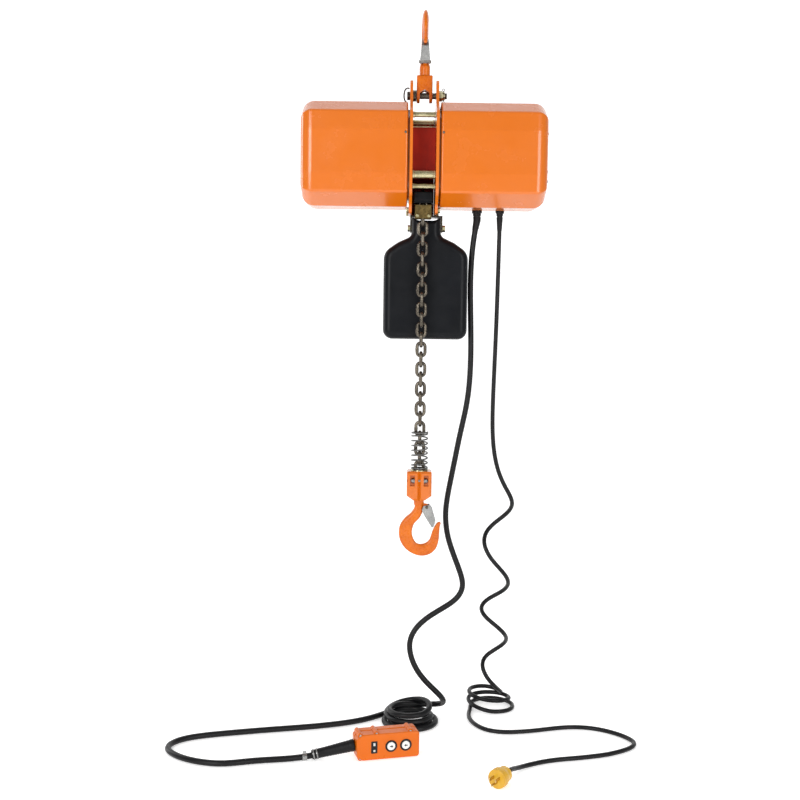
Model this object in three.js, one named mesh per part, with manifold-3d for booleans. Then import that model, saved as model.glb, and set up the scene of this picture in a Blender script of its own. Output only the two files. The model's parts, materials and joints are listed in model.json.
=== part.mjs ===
// Electric chain hoist with its pendant and power cords, in millimetres, +Z up.
// The origin is the saddle of the top hook. The chain hangs towards -Y and the slack chain towards +Y.
import * as THREE from 'three';
import { mergeVertices } from 'three/addons/utils/BufferGeometryUtils.js';
import Module from 'manifold-3d';

const wasm = await Module();
wasm.setup();

// ---------------------------------------------------------------- driving dimensions
const GAP = 0.3;                  // left between parts that touch
const FLOOR_Z = -1500;            // the surface that the ends of the cords lie on

const YOKE_TOP_Z = -107;
const PIN_Z = -148;               // suspension pin
const PIN_RADIUS = 6.3;
const YOKE_WIDTH = 33;
const YOKE_DEPTH = 30;
const YOKE_LEG = 6.4;

const BODY_Z = -275.2;            // middle of the covers
const BODY_LENGTH = 506;
const BODY_HALF_DEPTH = 105;
const BODY_HALF_HEIGHT = 107.2;
const COVER_WALL = 2.5;
const COVER_ROUND = 26;           // radius of the covers' outer ends

const PLATE_INNER = 24;           // half of the gap between the frame plates
const PLATE_THICK = 6;
const PLATE_BOTTOM_Z = -396;
const FLANGE_THICK = 7;
const FLANGE_INSET = 14;          // how far the flanges stay inside the outline of the covers
const COVER_START = PLATE_INNER + PLATE_THICK + FLANGE_THICK + 3 * GAP;
const BODY_END = BODY_LENGTH / 2;

const LINK_PITCH = 21;            // chain of 7.1 mm wire
const LINK_WIRE = 7.1;
const LINK_WIDTH = 24;
const CHAIN_Y = 34.2;             // pitch radius of a five-pocket sheave
const SHEAVE_Z = -270;
const CHAIN_TOP_Z = -346;         // ends of the straight runs inside the frame
const CHAIN_BEND_Z = -500;        // link at which the hanging chain may swing
const SLACK_END_Z = -470;
const GUIDE_TOP_Z = -378.5;
const GUIDE_BOTTOM_Z = -406;

const CONTAINER_X = 8;
const CONTAINER_TOP_Z = -400.5;
const CONTAINER_BOTTOM_Z = -658.5;
const CONTAINER_DEPTH = 89;
const CONTAINER_WALL = 3;
const CONTAINER_BOLT = { y: 16, z: -423, radius: 4 };

const BLOCK_TOP_Z = -936.5;       // hook block
const BLOCK_HEIGHT = 62.8;
const BLOCK_DEPTH = 44;
const BLOCK_BOTTOM_Z = BLOCK_TOP_Z - BLOCK_HEIGHT;
const COLLAR_RADIUS = 15;         // collar of the load hook, inside the block
const COLLAR_DEPTH = 46;
const SPRING = { radius: 16.7, wire: 3, turns: 8, height: 81 };

const HOOK_THICK = 17;
const HOOK_NECK = 9;              // half width where the blade meets the shank
const HOOK_SADDLE = 95.6;         // from the face that the shank enters to the saddle
const SHANK_RADIUS = 11;
const LATCH_PIN = { u: 17, v: 15, radius: 2.5 };

const GEAR_MODULE = 2.5;
const PINION_TEETH = 8;
const GEAR_TEETH = 32;
const GEAR_CENTRES = GEAR_MODULE * (PINION_TEETH + GEAR_TEETH) / 2 + GAP;
const HOLLOW_SHAFT = { outer: 19, inner: 10.5 };

const PENDANT_CORD = 12.5;
const POWER_CORD = 9.5;
const PENDANT_EXIT = { x: 117, y: 34 };
const POWER_EXIT = { x: 166, y: 34 };
const GLAND_HEIGHT = 12;
const PENDANT_COIL = { x: -10, y: -10, outer: 66, inner: 38, height: 27 };
const POWER_COIL = { x: 175, y: 113, outer: 58, inner: 32, height: 26 };

const CASE = { x: -62.8, y: -191.3, length: 130, width: 56, thick: 46, split: 3, yaw: 14.7 };
const BUTTONS = { up: 5.5, down: 36, radius: 8.5, length: 9 };
const BOOT = { length: 76, thick: 10.5, thin: 8 };
const PLUG = { x: 150, y: -350, yaw: -33.5, radius: 19 };

// ---------------------------------------------------------------- materials
const paint = (color, roughness, metalness) =>
  new THREE.MeshStandardMaterial({ color, roughness, metalness });
const ORANGE = paint(0xf4802c, 0.3, 0.1);
const ZINC = paint(0x9b9663, 0.4, 0.8);
const SILVER = paint(0xb9bcbd, 0.35, 0.9);
const DARK_STEEL = paint(0x3a3835, 0.45, 0.8);
const IRON = paint(0x6a6d70, 0.6, 0.6);
const COPPER = paint(0xa8623a, 0.5, 0.6);
const BLACK_PLASTIC = paint(0x1d1f22, 0.45, 0.0);
const GREY_PLASTIC = paint(0x85888a, 0.5, 0.0);
const RUBBER = paint(0x17181a, 0.6, 0.0);
const YELLOW = paint(0xe2b21c, 0.4, 0.0);
const WHITE = paint(0xe8e8e4, 0.35, 0.0);

// ---------------------------------------------------------------- solids
function toSolid(geometry) {
  const bare = geometry.index ? geometry.toNonIndexed() : geometry.clone();
  bare.deleteAttribute('normal');
  bare.deleteAttribute('uv');
  const merged = mergeVertices(bare, 1e-4);
  return new wasm.Manifold(new wasm.Mesh({
    numProp: 3,
    vertProperties: new Float32Array(merged.attributes.position.array),
    triVerts: new Uint32Array(merged.index.array),
  }));
}

function toGeometry(solid) {
  const mesh = solid.getMesh();
  const geometry = new THREE.BufferGeometry();
  geometry.setAttribute('position', new THREE.BufferAttribute(mesh.vertProperties, 3));
  geometry.setIndex(new THREE.BufferAttribute(mesh.triVerts, 1));
  geometry.computeVertexNormals();
  return geometry;
}

const join = (...pieces) => toGeometry(pieces.map(toSolid).reduce((a, b) => a.add(b)));
const cut = (body, ...tools) => toGeometry(tools.map(toSolid).reduce((a, b) => a.subtract(b), toSolid(body)));

// A box given by its lowest and highest corners.
function box([x0, y0, z0], [x1, y1, z1]) {
  return new THREE.BoxGeometry(x1 - x0, y1 - y0, z1 - z0)
    .translate((x0 + x1) / 2, (y0 + y1) / 2, (z0 + z1) / 2);
}

// Rods along X, Y and Z, given by their two ends.
function rodX(radius, x0, x1, y, z, sides = 16) {
  return new THREE.CylinderGeometry(radius, radius, x1 - x0, sides)
    .rotateZ(Math.PI / 2)
    .translate((x0 + x1) / 2, y, z);
}

function rodY(radius, y0, y1, x, z, sides = 12) {
  return new THREE.CylinderGeometry(radius, radius, y1 - y0, sides)
    .translate(x, (y0 + y1) / 2, z);
}

function rodZ(radius, z0, z1, x, y, sides = 16) {
  return new THREE.CylinderGeometry(radius, radius, z1 - z0, sides)
    .rotateX(Math.PI / 2)
    .translate(x, y, (z0 + z1) / 2);
}

// A body turned about the Y axis from (radius, height) points.
function lathe(profile, sides) {
  return new THREE.LatheGeometry(profile.map(([r, h]) => new THREE.Vector2(r, h)), sides);
}

const ringX = (outer, inner, x0, x1, y, z, sides = 20) =>
  cut(rodX(outer, x0, x1, y, z, sides), rodX(inner, x0 - 1, x1 + 1, y, z, sides));

// A flat outline in (Y, Z), extruded along X from x0 to x1.
function slabX(shape, x0, x1, options = {}) {
  const bevel = options.bevelThickness ?? 0;
  const geometry = new THREE.ExtrudeGeometry(shape, {
    depth: x1 - x0 - 2 * bevel, bevelEnabled: bevel > 0, steps: 1, curveSegments: 4, ...options,
  });
  const basis = new THREE.Matrix4().makeBasis(
    new THREE.Vector3(0, 1, 0), new THREE.Vector3(0, 0, 1), new THREE.Vector3(1, 0, 0));
  return geometry.applyMatrix4(basis).translate(x0 + bevel, 0, 0);
}

// A flat outline in (X, Z), extruded along Y from y0 to y1.
function slabY(shape, y0, y1, options = {}) {
  const bevel = options.bevelThickness ?? 0;
  const geometry = new THREE.ExtrudeGeometry(shape, {
    depth: y1 - y0 - 2 * bevel, bevelEnabled: bevel > 0, steps: 1, curveSegments: 4, ...options,
  });
  const basis = new THREE.Matrix4().makeBasis(
    new THREE.Vector3(1, 0, 0), new THREE.Vector3(0, 0, 1), new THREE.Vector3(0, -1, 0));
  return geometry.applyMatrix4(basis).translate(0, y1 - bevel, 0);
}

// A closed polygon whose corners are rounded, each by its own third number or else by the given radius.
function roundedPolygon(points, radius) {
  const shape = new THREE.Shape();
  const corners = points.map(([x, y]) => new THREE.Vector2(x, y));
  corners.forEach((corner, i) => {
    const before = corners[(i + corners.length - 1) % corners.length];
    const after = corners[(i + 1) % corners.length];
    const room = Math.min(corner.distanceTo(before), corner.distanceTo(after)) * 0.45;
    const reach = Math.min(points[i][2] ?? radius, room);
    const start = corner.clone().add(before.clone().sub(corner).setLength(reach));
    const end = corner.clone().add(after.clone().sub(corner).setLength(reach));
    if (i === 0) {
      shape.moveTo(start.x, start.y);
    } else {
      shape.lineTo(start.x, start.y);
    }
    shape.quadraticCurveTo(corner.x, corner.y, end.x, end.y);
  });
  shape.closePath();
  return shape;
}

const mirrored = (points) => [...points, ...points.map(([x, y, ...rest]) => [-x, y, ...rest]).reverse()];

// ---------------------------------------------------------------- scene graph
const hoist = new THREE.Group();
hoist.name = 'chain_hoist';

function add(name, geometry, material, parent = hoist) {
  const mesh = new THREE.Mesh(geometry, material);
  mesh.name = name;
  parent.add(mesh);
  return mesh;
}

// ---------------------------------------------------------------- hooks and latches
// Points along a smooth curve through the given ones.
function smooth(points, count) {
  const curve = new THREE.SplineCurve(points.map(([x, y]) => new THREE.Vector2(x, y)));
  return curve.getPoints(count).map((point) => [point.x, point.y]);
}

// The hook's outline: u runs towards its mouth and v away from the face that its shank enters.
function hookOutline(shank) {
  const back = [[-9, 16], [-17, 28], [-29.5, 39], [-39.2, 53.5], [-42, 70], [-39.4, 87.3], [-30, 103.4],
    [-14.9, 115.5], [5, 121.6], [24.1, 118], [37.4, 106.1], [43.4, 88.6], [44.6, 69.8], [45.2, 58]];
  const tip = [[49, 50], [45.5, 46.6], [38.5, 47.6]];
  const mouth = [[33.4, 58], [28.5, 70], [25, 83], [18.5, 92], [9, HOOK_SADDLE]];
  const throat = [[-1, HOOK_SADDLE], [-3, 91.2], [-11.3, 81.5], [-13.8, 70], [-12.5, 60], [-8, 50.5],
    [0.5, 41.5], [7, 33], [9, 22]];
  const rest = [...smooth(back, 14), ...tip, ...smooth(mouth, 6), ...smooth(throat, 10)];
  return [[-HOOK_NECK, 0], ...rest.map(([u, v]) => [u, v + shank]), [HOOK_NECK, 0]];
}

const HOOK_BEVEL = { bevelThickness: 3.5, bevelSize: 3.5, bevelOffset: -3.5, bevelSegments: 1 };
const polygon = (points) => new THREE.Shape(points.map(([x, y]) => new THREE.Vector2(x, y)));

// The latch: a bent sheet that straddles the hinge ear and ends inside the hook's tip.
const LATCH_SIDE = [[9.5, 20], [12, 10.5], [22.5, 10], [28, 16.5], [36.2, 44.5], [31.2, 56.5], [27.6, 55.5],
  [13, 30]];
const LATCH_INSIDE = [[4, 22], [8, 5], [20.5, 5], [26.2, 17.2], [34.2, 44.8], [30, 54], [10, 60]];
const LATCH_HALF_WIDTH = 10.4;
const LATCH_SHEET = 1.4;
const LATCH_EAR = [[5, 7], [19, 9], [21, 15], [18, 20.5], [5, 25]];
const LATCH_EAR_HALF = 4;

function latchShell(slab, toPlane, pin) {
  const outer = slab(polygon(LATCH_SIDE.map(toPlane)), -LATCH_HALF_WIDTH, LATCH_HALF_WIDTH);
  const half = LATCH_HALF_WIDTH - LATCH_SHEET;
  const inner = slab(polygon(LATCH_INSIDE.map(toPlane)), -half, half);
  return cut(outer, inner, pin);
}

function hookBody(slab, toPlane, rod, shank) {
  const blade = slab(polygon(hookOutline(shank).map(toPlane)), -HOOK_THICK / 2, HOOK_THICK / 2, HOOK_BEVEL);
  const earOutline = LATCH_EAR.map(([u, v]) => toPlane([u, v + shank]));
  const ear = slab(polygon(earOutline), -LATCH_EAR_HALF, LATCH_EAR_HALF);
  const [pinU, pinV] = toPlane([LATCH_PIN.u, LATCH_PIN.v + shank]);
  return cut(join(blade, ear, ...rod), slab(roundShape(pinU, pinV, LATCH_PIN.radius + GAP), -20, 20));
}

function roundShape(x, y, radius) {
  const shape = new THREE.Shape();
  shape.absarc(x, y, radius, 0, 2 * Math.PI, false);
  return shape;
}

// Top hook: in the YZ plane, mouth towards -Y, saddle at the origin.
const TOP_SHANK = -YOKE_TOP_Z - HOOK_SADDLE;
const topPlane = ([u, v]) => [-u, YOKE_TOP_Z + v];
const topLatchPlane = ([u, v]) => [-u, YOKE_TOP_Z + v + TOP_SHANK];
const TOP_LATCH_PIN = [-LATCH_PIN.u, YOKE_TOP_Z + LATCH_PIN.v + TOP_SHANK, 10];
const LATCH_PIN_HALF = 12;
const NUT_Z = -136;

add('top_hook', hookBody(slabX, topPlane, [
  rodZ(SHANK_RADIUS, YOKE_TOP_Z + GAP, YOKE_TOP_Z + 30, 0, 0),
  rodZ(8, -126, YOKE_TOP_Z + 2, 0, 0),
  rodZ(6, NUT_Z, -120, 0, 0),
], TOP_SHANK), ORANGE);
add('top_hook_nut', cut(rodZ(9.6, NUT_Z, -126.5, 0, 0, 6), rodZ(6.4, NUT_Z - 1, -120, 0, 0)), ZINC);
add('top_latch_pin', rodX(LATCH_PIN.radius, -LATCH_PIN_HALF, LATCH_PIN_HALF, ...TOP_LATCH_PIN), DARK_STEEL);
const topLatchHole = rodX(LATCH_PIN.radius + GAP, -LATCH_PIN_HALF - 1, LATCH_PIN_HALF + 1, ...TOP_LATCH_PIN);
add('top_latch', latchShell(slabX, topLatchPlane, topLatchHole), SILVER);

// Load hook: in the XZ plane, mouth towards +X, on the chain's axis.
const loadPlane = ([u, v]) => [u, BLOCK_BOTTOM_Z - v];
const LOAD_LATCH_PIN = [LATCH_PIN.u, BLOCK_BOTTOM_Z - LATCH_PIN.v, 10];

function addLoadHook() {
  const collar = rodZ(COLLAR_RADIUS, BLOCK_TOP_Z - COLLAR_DEPTH, BLOCK_TOP_Z - 36.5, 0, 0);
  const stem = rodZ(SHANK_RADIUS, BLOCK_BOTTOM_Z - 12, BLOCK_TOP_Z - COLLAR_DEPTH, 0, 0);
  const pin = rodY(LATCH_PIN.radius, -LATCH_PIN_HALF, LATCH_PIN_HALF, ...LOAD_LATCH_PIN);
  const hole = rodY(LATCH_PIN.radius + GAP, -LATCH_PIN_HALF - 1, LATCH_PIN_HALF + 1, ...LOAD_LATCH_PIN);
  const meshes = [
    add('load_hook', hookBody(slabY, loadPlane, [stem, collar], 0), ORANGE),
    add('load_latch_pin', pin, DARK_STEEL),
    add('load_latch', latchShell(slabY, loadPlane, hole), SILVER),
  ];
  for (const mesh of meshes) {
    mesh.position.y = -CHAIN_Y;
  }
}

addLoadHook();

// ---------------------------------------------------------------- suspension
function suspensionYoke() {
  const half = YOKE_DEPTH / 2;
  const side = new THREE.Shape();
  side.moveTo(half, PIN_Z);
  side.lineTo(half, YOKE_TOP_Z - 4);
  side.lineTo(half - 4, YOKE_TOP_Z);
  side.lineTo(-half + 4, YOKE_TOP_Z);
  side.lineTo(-half, YOKE_TOP_Z - 4);
  side.lineTo(-half, PIN_Z);
  side.absarc(0, PIN_Z, half, Math.PI, 2 * Math.PI, false);
  const inner = YOKE_WIDTH / 2 - YOKE_LEG;
  return cut(
    slabX(side, -YOKE_WIDTH / 2, YOKE_WIDTH / 2),
    box([-inner, -half - 1, PIN_Z - half - 1], [inner, half + 1, -139]),
    rodZ(10.1, -140, -122, 0, 0, 18),
    rodZ(8.4, -123, YOKE_TOP_Z + 1, 0, 0),
    rodX(PIN_RADIUS + GAP, -20, 20, 0, PIN_Z));
}

add('suspension_yoke', suspensionYoke(), ORANGE);
const PIN_HEAD_X = -PLATE_INNER - PLATE_THICK - GAP;
const PIN_HOLE = PIN_RADIUS + GAP;
add('suspension_pin', join(
  rodX(PIN_RADIUS, PIN_HEAD_X - 1, 47, 0, PIN_Z),
  rodX(9, PIN_HEAD_X - 6, PIN_HEAD_X, 0, PIN_Z),
), DARK_STEEL);
add('suspension_pin_nut', cut(rodX(11, 30.5, 41, 0, PIN_Z, 6), rodX(PIN_HOLE, 29, 42, 0, PIN_Z)), ZINC);
const collar = ringX(11.7, PIN_HOLE, -PLATE_INNER + GAP, -YOKE_WIDTH / 2 - GAP, 0, PIN_Z);
add('suspension_collar', collar, DARK_STEEL);

// ---------------------------------------------------------------- frame
function framePlate(x0) {
  const half = mirrored([[24, -119], [33, -128], [40, -165], [54, -170], [102, -191], [107, -231], [107, -319],
    [102, -359], [58, -381], [56, PLATE_BOTTOM_Z]]);
  const x1 = x0 + PLATE_THICK;
  return cut(
    slabX(roundedPolygon(half, 9), x0, x1, { curveSegments: 2 }),
    rodX(PIN_RADIUS + GAP, x0 - 1, x1 + 1, 0, PIN_Z),
    rodX(31.3, x0 - 1, x1 + 1, 0, SHEAVE_Z, 24));
}

add('left_frame_plate', framePlate(-PLATE_INNER - PLATE_THICK), ORANGE);
add('right_frame_plate', framePlate(PLATE_INNER), ORANGE);

const TIE_BARS = [
  { radius: 6, y: -62.5, z: -196 },
  { radius: 8.7, y: 62.5, z: -196.5 },
  { radius: 9.2, y: -62.5, z: -317 },
  { radius: 5.6, y: -62.5, z: -341 },
];
TIE_BARS.forEach(({ radius, y, z }, i) => {
  add(`tie_bar_${i + 1}`, rodX(radius, -PLATE_INNER + GAP, PLATE_INNER - GAP, y, z), ZINC);
});

// Bent sheet that runs up in front of the sheave, flat over it and down behind the slack chain.
function chainGuard() {
  const [inner, outer] = [50, 52];
  const [top, front, rear] = [-219, -325, -394];
  const outline = polygon([[outer, rear], [outer, top], [-outer, top], [-outer, front], [-inner, front],
    [-inner, top - 2], [inner, top - 2], [inner, rear]]);
  return slabX(outline, -PLATE_INNER + GAP, PLATE_INNER - GAP);
}

add('chain_guard', chainGuard(), ORANGE);

function chainGuide() {
  const side = polygon([[-52, GUIDE_BOTTOM_Z], [-14, GUIDE_BOTTOM_Z], [-14, PLATE_BOTTOM_Z + GAP],
    [49.5, PLATE_BOTTOM_Z + GAP], [49.5, GUIDE_TOP_Z], [-52, GUIDE_TOP_Z]]);
  const opening = LINK_WIDTH / 2 + 1.5;
  const slots = [-CHAIN_Y, CHAIN_Y].map((y) =>
    box([-opening, y - opening, GUIDE_BOTTOM_Z - 1], [opening, y + opening, GUIDE_TOP_Z + 1]));
  return cut(slabX(side, -17, 17), ...slots);
}

add('chain_guide', chainGuide(), ZINC);

// ---------------------------------------------------------------- covers and flanges
// The section of the body, drawn in by the given amount.
function bodySection(inset) {
  const y = (BODY_HALF_DEPTH - inset) / BODY_HALF_DEPTH;
  const z = (BODY_HALF_HEIGHT - inset) / BODY_HALF_HEIGHT;
  const quarter = [[47, BODY_HALF_HEIGHT], [100, 81.6], [BODY_HALF_DEPTH, 43.5]];
  const half = [...quarter, ...quarter.map(([a, b]) => [a, -b]).reverse()];
  return roundedPolygon(mirrored(half.map(([a, b]) => [a * y, BODY_Z + b * z])), 9);
}

// One cover: closed at its rounded outer end, open towards the frame.
function cover(side, ...holes) {
  const shell = (inset, round) => slabX(bodySection(COVER_ROUND), -BODY_END + inset, BODY_END - inset, {
    curveSegments: 2, bevelThickness: round, bevelSize: round, bevelSegments: 2,
  });
  const hollow = cut(shell(0, COVER_ROUND), shell(COVER_WALL, COVER_ROUND - COVER_WALL));
  const inner = side > 0 ? -BODY_END - 1 : -COVER_START;
  const outer = side > 0 ? COVER_START : BODY_END + 1;
  return cut(hollow, box([inner, -200, BODY_Z - 200], [outer, 200, BODY_Z + 200]), ...holes);
}

add('left_cover', cover(-1), ORANGE);
add('right_cover', cover(1), ORANGE);

function flange(x0) {
  return cut(
    slabX(bodySection(FLANGE_INSET), x0, x0 + FLANGE_THICK, { curveSegments: 2 }),
    rodX(31.3, x0 - 1, x0 + FLANGE_THICK + 1, 0, SHEAVE_Z, 24));
}

const FLANGE_X = PLATE_INNER + PLATE_THICK + GAP;
add('motor_flange', flange(-FLANGE_X - FLANGE_THICK), ORANGE);
add('gear_flange', flange(FLANGE_X), ORANGE);

// ---------------------------------------------------------------- drive
const bearing = (x0, x1) => ringX(31, HOLLOW_SHAFT.outer + GAP, x0, x1, 0, SHEAVE_Z, 24);
add('sheave_bearing_left', bearing(-37, -25), SILVER);
add('sheave_bearing_right', bearing(25, 37), SILVER);

// The sheave: two rims, a drum for the flat links with five pockets and a groove for the upright links.
function loadSheave() {
  const shaft = HOLLOW_SHAFT.outer;
  const profile = [[0, -36], [shaft, -36], [shaft, -22], [38, -22], [40, -20], [40, -15], [30, -13.5], [30, -5],
    [20, -4.5], [20, 4.5], [30, 5], [30, 13.5], [40, 15], [40, 20], [38, 22], [shaft, 22], [shaft, 58],
    [0, 58]];
  const drum = lathe(profile, 20).rotateZ(-Math.PI / 2);
  const pockets = [0, 1, 2, 3, 4].map((i) => box([-12.5, -9, 26], [12.5, 9, 34])
    .rotateX(i * 2 * Math.PI / 5));
  return cut(drum, rodX(HOLLOW_SHAFT.inner, -40, 60, 0, 0), ...pockets).translate(0, 0, SHEAVE_Z);
}

add('load_sheave', loadSheave(), IRON);

// A spur gear's outline, with tapered teeth and some backlash.
function gearShape(teeth, phase) {
  const pitch = GEAR_MODULE * teeth / 2;
  const tooth = 2 * Math.PI / teeth;
  const points = [];
  for (let i = 0; i < teeth; i += 1) {
    const middle = (i + phase) * tooth;
    const [root, tip] = [pitch - 2.6, pitch + 1.7];
    for (const [radius, part] of [[root, -0.3], [tip, -0.1], [tip, 0.1], [root, 0.3]]) {
      const angle = middle + part * tooth;
      points.push([radius * Math.cos(angle), radius * Math.sin(angle)]);
    }
  }
  return polygon(points);
}

function gear(teeth, phase, x0, x1, bore) {
  const shape = gearShape(teeth, phase);
  if (bore > 0) {
    const hole = new THREE.Path();
    hole.absarc(0, 0, bore, 0, 2 * Math.PI, true);
    shape.holes.push(hole);
  }
  return slabX(shape, x0, x1, { curveSegments: 10 });
}

add('output_gear', gear(GEAR_TEETH, 0, 42, 54, HOLLOW_SHAFT.outer + GAP), IRON).position.z = SHEAVE_Z;
add('idler_gear', join(
  gear(PINION_TEETH, 0.5, 42, 62, 0),
  gear(GEAR_TEETH, 0, 61, 71, 0),
  rodX(5, 39, 90, 0, 0),
), IRON).position.set(0, GEAR_CENTRES, SHEAVE_Z);
add('motor_rotor', join(
  rodX(9.5, -215, 60.5, 0, 0),
  gear(PINION_TEETH, 0.5, 60, 72, 0),
  rodX(5, 70, 90, 0, 0),
  rodX(42, -170, -70, 0, 0, 18),
), IRON).position.z = SHEAVE_Z;
add('brake_disc', ringX(48, 9.5 + GAP, -204, -198, 0, SHEAVE_Z, 24), DARK_STEEL);
add('brake_magnet', ringX(54, 11, -234, -207, 0, SHEAVE_Z, 24), BLACK_PLASTIC);
add('motor_stator', ringX(75, 42.8, -178, -62, 0, SHEAVE_Z, 24), COPPER);

// Gear case: a shell around both gear axes, open towards the flange.
function gearCase() {
  const outline = (wall) => {
    const [front, rear] = [-48 + wall, 98 - wall];
    const [bottom, top] = [SHEAVE_Z - 50 + wall, SHEAVE_Z + 50 - wall];
    return roundedPolygon([[front, bottom], [rear, bottom], [rear, top], [front, top]], 24);
  };
  const start = FLANGE_X + FLANGE_THICK + GAP;
  return cut(
    slabX(outline(0), start, 96, { curveSegments: 3 }),
    slabX(outline(4), start - 1, 92, { curveSegments: 3 }));
}

add('gear_case', gearCase(), IRON);

// ---------------------------------------------------------------- electrics
add('control_panel', box([102, -4, BODY_Z - 78], [240, -1, BODY_Z + 78]), SILVER);
add('contactor_pair', join(
  box([112, -62, BODY_Z - 4], [160, -4.3, BODY_Z + 62]),
  box([159, -55, BODY_Z + 6], [173, -4.3, BODY_Z + 52]),
  box([172, -62, BODY_Z - 4], [220, -4.3, BODY_Z + 62]),
), GREY_PLASTIC);

function gland({ x, y }, cordDiameter) {
  const top = BODY_Z - BODY_HALF_HEIGHT - GAP;
  const radius = cordDiameter / 2;
  const outer = radius + 4.5;
  const profile = [[0, 0], [radius + 2.5, 0], [outer, 5], [outer, GLAND_HEIGHT], [0, GLAND_HEIGHT]];
  return lathe(profile, 16).rotateX(Math.PI / 2).translate(x, y, top - GLAND_HEIGHT);
}

add('pendant_gland', gland(PENDANT_EXIT, PENDANT_CORD), RUBBER);
add('power_gland', gland(POWER_EXIT, POWER_CORD), RUBBER);

// ---------------------------------------------------------------- chain container
function containerOutline(wall) {
  const neck = 31 - wall;
  const half = 89.7 - wall;
  const bottom = CONTAINER_BOTTOM_Z + wall;
  const top = wall > 0 ? CONTAINER_TOP_Z + 5 : CONTAINER_TOP_Z;
  return roundedPolygon(mirrored([[neck, top, 10], [neck, -441 - wall, 10], [half - 34, -457 - wall, 16],
    [half, -472 - wall * 0.6, 18], [half, bottom, 20]]).map(([x, z, round]) => [CONTAINER_X + x, z, round]), 0);
}

function chainContainer() {
  const y0 = CHAIN_Y - CONTAINER_DEPTH / 2;
  const y1 = CHAIN_Y + CONTAINER_DEPTH / 2;
  const outer = slabY(containerOutline(0), y0, y1, {
    curveSegments: 2, bevelThickness: 5, bevelSize: 5, bevelOffset: -5, bevelSegments: 1,
  });
  const inner = slabY(containerOutline(CONTAINER_WALL), y0 + CONTAINER_WALL, y1 - CONTAINER_WALL, {
    curveSegments: 2, bevelThickness: 3, bevelSize: 3, bevelOffset: -3, bevelSegments: 1,
  });
  const mouth = box(
    [CONTAINER_X - 27, y0 + 4, CONTAINER_TOP_Z - 20],
    [CONTAINER_X + 27, y1 - 4, CONTAINER_TOP_Z + 20]);
  const { y, z, radius } = CONTAINER_BOLT;
  return cut(outer, inner, mouth, rodX(radius + GAP, CONTAINER_X - 40, CONTAINER_X + 40, y, z, 12));
}

add('chain_container', chainContainer(), BLACK_PLASTIC);

function containerBracket() {
  const outer = 31 + GAP + 3;
  const inner = 31 + GAP;
  const top = PLATE_BOTTOM_Z - GAP;
  const strap = box([CONTAINER_X - outer, 6, -431], [CONTAINER_X + outer, 58, top]);
  const hollow = box([CONTAINER_X - inner, 5, -435], [CONTAINER_X + inner, 59, top - 3]);
  const passage = box([-16, CHAIN_Y - 14, top - 5], [16, CHAIN_Y + 14, top + 1]);
  const { y, z, radius } = CONTAINER_BOLT;
  return cut(strap, hollow, passage, rodX(radius + GAP, CONTAINER_X - 40, CONTAINER_X + 40, y, z, 12));
}

add('container_bracket', containerBracket(), DARK_STEEL);

function containerBolt() {
  const { y, z, radius } = CONTAINER_BOLT;
  const reach = 31 + 3 + 2 * GAP;
  return join(
    rodX(radius, CONTAINER_X - reach - 1, CONTAINER_X + reach + 1, y, z, 12),
    rodX(7, CONTAINER_X - reach - 5, CONTAINER_X - reach, y, z, 6),
    rodX(7, CONTAINER_X + reach, CONTAINER_X + reach + 6, y, z, 6));
}

add('container_bolt', containerBolt(), ZINC);

// ---------------------------------------------------------------- chains
// One link: a ring of eight parts whose halves are drawn apart along Z.
function link() {
  const middle = (LINK_WIDTH - LINK_WIRE) / 2;
  const geometry = new THREE.TorusGeometry(middle / Math.cos(Math.PI / 8), LINK_WIRE / 2, 5, 8)
    .rotateZ(Math.PI / 8).rotateY(Math.PI / 2).rotateX(Math.PI / 2);
  const stretch = (LINK_PITCH + LINK_WIRE) / 2 - middle;
  const position = geometry.attributes.position;
  for (let i = 0; i < position.count; i += 1) {
    position.setZ(i, position.getZ(i) + Math.sign(position.getZ(i)) * stretch);
  }
  return geometry;
}

// A straight run of links, alternately turned, held together by small bridges where they bear on each other.
function chainRun(top, count, turned) {
  const pieces = [];
  for (let i = 0; i < count; i += 1) {
    const z = top - i * LINK_PITCH;
    pieces.push(link().rotateZ((i + turned) % 2 * Math.PI / 2).translate(0, 0, z));
    if (i > 0) {
      pieces.push(box([-1.5, -1.5, -2.5], [1.5, 1.5, 2.5]).translate(0, 0, z + LINK_PITCH / 2));
    }
  }
  return join(...pieces);
}

const HALF_LINK = LINK_PITCH / 2 + LINK_WIRE;
const upperCount = Math.round((CHAIN_TOP_Z - CHAIN_BEND_Z) / LINK_PITCH);
const upperFirst = CHAIN_TOP_Z - HALF_LINK;
const lowerFirst = upperFirst - upperCount * LINK_PITCH - GAP;
const lowerCount = Math.ceil((lowerFirst - BLOCK_TOP_Z) / LINK_PITCH) + 1;
const lastLinkDepth = BLOCK_TOP_Z - lowerFirst + (lowerCount - 1) * LINK_PITCH;
const anchorDepth = lastLinkDepth + LINK_PITCH / 2 - 4.5;
const slackCount = Math.floor((CHAIN_TOP_Z - SLACK_END_Z) / LINK_PITCH);

add('upper_chain', chainRun(upperFirst, upperCount, 0), DARK_STEEL).position.y = -CHAIN_Y;
add('lower_chain', chainRun(lowerFirst, lowerCount, upperCount), DARK_STEEL).position.y = -CHAIN_Y;
add('slack_chain', chainRun(upperFirst, slackCount, 0), DARK_STEEL).position.y = CHAIN_Y;

class Helix extends THREE.Curve {
  getPoint(t, target = new THREE.Vector3()) {
    const angle = t * SPRING.turns * 2 * Math.PI;
    return target.set(SPRING.radius * Math.cos(angle), SPRING.radius * Math.sin(angle), t * SPRING.height);
  }
}

function bufferSpring() {
  return new THREE.ExtrudeGeometry(roundSection(SPRING.wire / 2, 5), {
    steps: SPRING.turns * 8, bevelEnabled: false, extrudePath: new Helix(),
  });
}

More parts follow.
